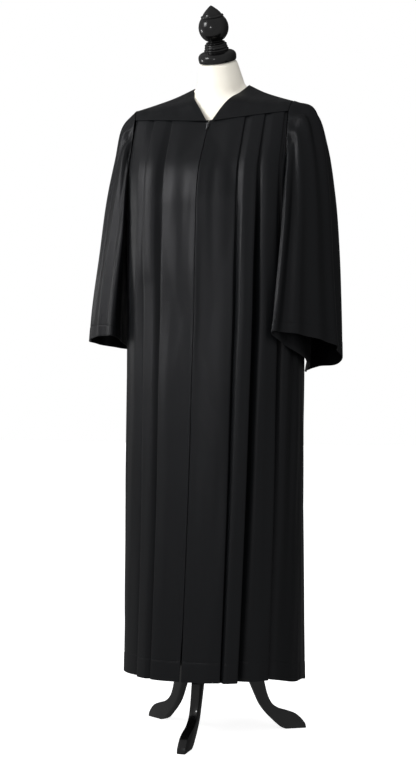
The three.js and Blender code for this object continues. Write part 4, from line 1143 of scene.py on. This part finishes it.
# %% Slider and tab
SLIDER_Z = 1391 * MM
low, high = (body_point(0, SLIDER_Z + dz) for dz in (-8 * MM, 8 * MM))
lean = -math.atan2(high[1] - low[1], high[2] - low[2])
seat = Matrix.Translation((0, (low[1] + high[1]) / 2, SLIDER_Z))
SLIDER_FRAME = seat @ Matrix.Rotation(lean, 4, "X")
FACE = -2.6 * MM  # front of the slider body, in its own frame
EAR_X, EAR_Z = 2.65 * MM, 3.5 * MM  # the ears that hold the tab's barrel, in the same frame


def block(name, size, place, bevel):
    """A rounded block in the slider's frame."""
    bpy.ops.object.select_all(action="DESELECT")
    bpy.ops.mesh.primitive_cube_add(size=1, location=(0, 0, 0))
    piece = bpy.context.object
    piece.name = piece.data.name = name
    piece.data.transform(Matrix.Translation(place) @ Matrix.Diagonal((*size, 1)))
    bpy.ops.object.mode_set(mode="EDIT")
    bpy.ops.mesh.select_all(action="SELECT")
    bpy.ops.mesh.bevel(offset=bevel, segments=3)
    bpy.ops.object.mode_set(mode="OBJECT")
    piece.data.materials.append(metal.material)
    return piece


def joined(name, parts):
    """Several blocks as one piece."""
    bpy.ops.object.select_all(action="DESELECT")
    for part in parts:
        part.select_set(True)
    bpy.context.view_layer.objects.active = parts[0]
    bpy.ops.object.join()
    whole = bpy.context.object
    whole.name = whole.data.name = name
    return whole


body = block("slider", (7.6 * MM, 2.0 * MM, 10 * MM), (0, FACE + 1.0 * MM, 0), 0.6 * MM)
for v in body.data.vertices:  # the body narrows towards its foot
    v.co.x *= 0.74 + 0.26 * float(smooth((v.co.z / MM + 5) / 7))
EAR = (1.2 * MM, 3.2 * MM, 3.0 * MM)
ears = [block("ear", EAR, (x, FACE - 1.1 * MM, EAR_Z), 0.45 * MM) for x in (-EAR_X, EAR_X)]
slider = joined("zip_slider_metal", [body, *ears])
slider.data.transform(SLIDER_FRAME)
slider.data.shade_smooth()
belongs(slider, ["zip_slider"])

hinge = Vector((0, FACE - 1.5 * MM, EAR_Z))
across = (0, math.pi / 2, 0)
bpy.ops.object.select_all(action="DESELECT")
bpy.ops.mesh.primitive_cylinder_add(vertices=24, radius=1.1 * MM, depth=3.5 * MM, rotation=across)
barrel = bpy.context.object
bpy.ops.object.transform_apply(location=True, rotation=True, scale=True)
barrel.data.materials.append(metal.material)
modify(barrel, "BEVEL", width=0.2 * MM, segments=2, limit_method="ANGLE", angle_limit=0.6)
tab = block("tab", (3.6 * MM, 1.1 * MM, 14.4 * MM), (0, 0, -7.6 * MM), 0.35 * MM)
for v in tab.data.vertices:  # its free end is rounded off
    end = smooth((-v.co.z / MM - 12.2) / 2.6)
    v.co.x *= 1 - 0.45 * float(end)
pull = joined("zip_pull_metal", [barrel, tab])
pull.data.transform(SLIDER_FRAME @ Matrix.Translation(hinge))
pull.data.shade_smooth()
belongs(pull, ["zip_pull"], "zip_pull")
print("slider and tab at", [round(c, 4) for c in SLIDER_FRAME.translation])

# %% [markdown]
# ## The dress form
# The form is a padded torso under a knit cover, cut to the shape of the robe's yokes. Only its
# neck shows. Its solid is made of flat facets, so a copy is remeshed into small even faces and
# relaxed, which gives the smooth skin of stretched knit without leaving the solid's place.

# %% Smooth torso
torso = bpy.data.objects.new("torso_cover", bpy.data.objects["form_torso"].data.copy())
scene.collection.objects.link(torso)
torso.data.materials.clear()
torso.data.materials.append(knit.material)
select_only(torso)
bpy.ops.object.mode_set(mode="EDIT")
bpy.ops.mesh.select_all(action="SELECT")
bpy.ops.mesh.remove_doubles(threshold=0.00001)
bpy.ops.object.mode_set(mode="OBJECT")
modify(torso, "REMESH", mode="VOXEL", voxel_size=5 * MM, use_smooth_shade=True)
modify(torso, "SMOOTH", factor=0.5, iterations=14)
torso.data.shade_smooth()
belongs(torso, ["form_torso"])
print("torso cover:", len(torso.data.polygons), "faces")

# %% [markdown]
# ## The neck cap
# The cap is turned from one piece of wood: a foot, two rings, a neck, a ball and a point. A
# turner works along the profile from the foot upwards, and so does this cell: a circle is
# extruded ring by ring, each scaled to the next radius. A small bevel softens the tool edges.

# %% Turned cap
def turned_piece(name, profile, sides, bevel):
    """A turned solid from (height, radius) steps in mm, extruded ring by ring from its foot."""
    profile = [(h * MM, r * MM) for h, r in profile]
    bpy.ops.object.select_all(action="DESELECT")
    height, radius = profile[0]
    bpy.ops.mesh.primitive_circle_add(vertices=sides, radius=radius, fill_type="NGON", location=(0, 0, 0))
    piece = bpy.context.object
    piece.name = piece.data.name = name
    piece.data.transform(Matrix.Translation((0, 0, height)))
    bpy.ops.object.mode_set(mode="EDIT")
    bpy.ops.mesh.select_all(action="SELECT")
    for next_height, next_radius in profile[1:]:
        bpy.ops.mesh.extrude_region_move(TRANSFORM_OT_translate={"value": (0, 0, next_height - height)})
        factor = next_radius / radius
        bpy.ops.transform.resize(value=(factor, factor, 1), center_override=(0, 0, next_height))
        height, radius = next_height, next_radius
    bpy.ops.object.mode_set(mode="OBJECT")
    face_outwards(piece)
    piece.data.materials.append(lacquer.material)
    modify(piece, "BEVEL", width=bevel, segments=2, limit_method="ANGLE", angle_limit=math.radians(28))
    select_only(piece)
    bpy.ops.object.shade_smooth_by_angle(angle=math.radians(40))
    print(f"{name}: {len(profile)} rings, {len(piece.data.polygons)} faces")
    return piece


FOOT = [
    (0, 42.6), (1.6, 43.6), (8, 44.4), (11, 44.4), (14, 43.8), (16.8, 42.4), (19, 40.3),
    (20.8, 37.4), (22, 34), (23, 27.5),
]
RINGS = [
    (24, 27.5), (25.2, 28.5), (26.5, 28.8), (27.8, 28.5), (29, 27.4), (29.8, 25.6),
    (31, 26.6), (32, 27), (33.5, 26.8), (35, 25.6),
]
NECK = [
    (36, 25), (37, 25.8), (38.2, 26), (39.4, 25.5), (40.5, 24.2), (41.5, 21),
    (42.5, 22), (43.5, 22.2), (44.4, 21), (45, 19), (46, 17.4), (47.4, 16.6),
]
BALL_RADIUS, BALL_MIDDLE = 34.8, 77
BALL = [
    (h, math.sqrt(BALL_RADIUS**2 - (h - BALL_MIDDLE) ** 2)) for h in np.linspace(49.5, 100.5, 27)
]
POINT = [
    (101, 25), (101.6, 26), (102.8, 26.4), (104, 26.3), (105, 25.6), (106, 21.6), (107.6, 21.2),
    (109.5, 20.2), (112, 18.2), (115, 15.6), (118.5, 11.9), (122, 8), (125, 4.4), (126.8, 1.9),
    (127.4, 0.5),
]
cap = turned_piece("turned_neck_cap", [*FOOT, *RINGS, *NECK, *BALL, *POINT], 96, 0.3 * MM)
NECK_Y, NECK_TOP_Z, CAP_GAP = 28 * MM, 1551.4 * MM, 0.3 * MM
tilt = math.radians(22.6)  # the neck is cut off at a slant, and the cap leans with it
away = Vector((0, -math.sin(tilt), math.cos(tilt))) * CAP_GAP
seat = Matrix.Translation(Vector((0, NECK_Y, NECK_TOP_Z)) + away)
cap.data.transform(seat @ Matrix.Rotation(tilt, 4, "X"))
belongs(cap, ["neck_cap"])

# %% [markdown]
# ## The stand
# The stand is a round pole in a turned hub with three flat sawn legs. The pole and the hub are
# turned like the cap. A leg is a board cut to a curved outline: the outline is laid out as one
# flat face, extruded to the board's thickness, and its edges are eased with a bevel.

# %% Pole and hub
STAND_X = -6 * MM
POLE = [(330.3, 15.6), (331, 16), (739, 16), (739.7, 15.6)]
HUB = [
    (188, 13), (189, 14.5), (192, 19), (196, 21), (200, 22), (306, 22),
    (310, 24), (314, 26), (318, 26.4), (322, 26), (326, 22.5), (330, 18),
]
for name, node, profile, bevel in (
    ("turned_pole", "stand_pole", POLE, 0.3 * MM),
    ("turned_hub", "stand_hub", HUB, 0.4 * MM),
):
    piece = turned_piece(name, profile, 64, bevel)
    piece.data.transform(Matrix.Translation((STAND_X, 0, 0)))
    belongs(piece, [node])

# %% Legs
# the outline of a leg: distance from the middle of the stand, and height
LEG_OUTER = [
    (22.3, 292), (56, 262), (84, 222), (106, 180), (118, 142), (126, 106),
    (133, 80), (143, 61), (160, 48), (184, 40), (205, 31), (217, 19),
]
LEG_TOE, LEG_HEEL = [(217, 19), (223, 10), (225, 0)], [(176, 0), (164, 5), (152, 15)]
LEG_INNER = [
    (152, 15), (131, 36), (115, 57), (103, 82), (91, 110), (78, 140), (60, 168), (42, 188), (22.3, 206),
]
BOARD = 20 * MM


def smoothed(points, count):
    line = Curve([(r * MM, z * MM, 0) for r, z in points])
    return [line.even(k / count) for k in range(count + 1)]


def leg_outline():
    outer, toe = smoothed(LEG_OUTER, 40), smoothed(LEG_TOE, 5)[1:]
    heel, inner = smoothed(LEG_HEEL, 5), smoothed(LEG_INNER, 34)[1:]
    return [*outer, *toe, *heel, *inner]


def leg(name, turn, node):
    """A sawn board with eased edges, turned to its place round the stand."""
    outline = leg_outline()
    bpy.ops.object.select_all(action="DESELECT")
    bpy.ops.mesh.primitive_circle_add(vertices=len(outline), radius=0.1, fill_type="NGON", location=(0, 0, 0))
    piece = bpy.context.object
    piece.name = piece.data.name = name
    ring = sorted(piece.data.vertices, key=lambda v: math.atan2(v.co.y, v.co.x) % (2 * math.pi))
    for vertex, (r, z, _) in zip(ring, reversed(outline)):
        vertex.co = (r, BOARD / 2, z)
    bpy.ops.object.mode_set(mode="EDIT")
    bpy.ops.mesh.select_all(action="SELECT")
    bpy.ops.mesh.extrude_region_move(TRANSFORM_OT_translate={"value": (0, -BOARD, 0)})
    bpy.ops.object.mode_set(mode="OBJECT")
    face_outwards(piece)
    piece.data.materials.append(lacquer.material)
    modify(piece, "BEVEL", width=2.2 * MM, segments=3, limit_method="ANGLE", angle_limit=math.radians(50))
    select_only(piece)
    bpy.ops.object.shade_smooth_by_angle(angle=math.radians(35))
    heading = Matrix.Rotation(math.radians(turn - 90), 4, "Z")
    piece.data.transform(Matrix.Translation((STAND_X, 0, 0)) @ heading)
    belongs(piece, [node])


leg("front_leg_board", 2.7, "leg_front")
leg("left_leg_board", 122.7, "leg_left")
leg("right_leg_board", -120, "leg_right")
print("three legs")
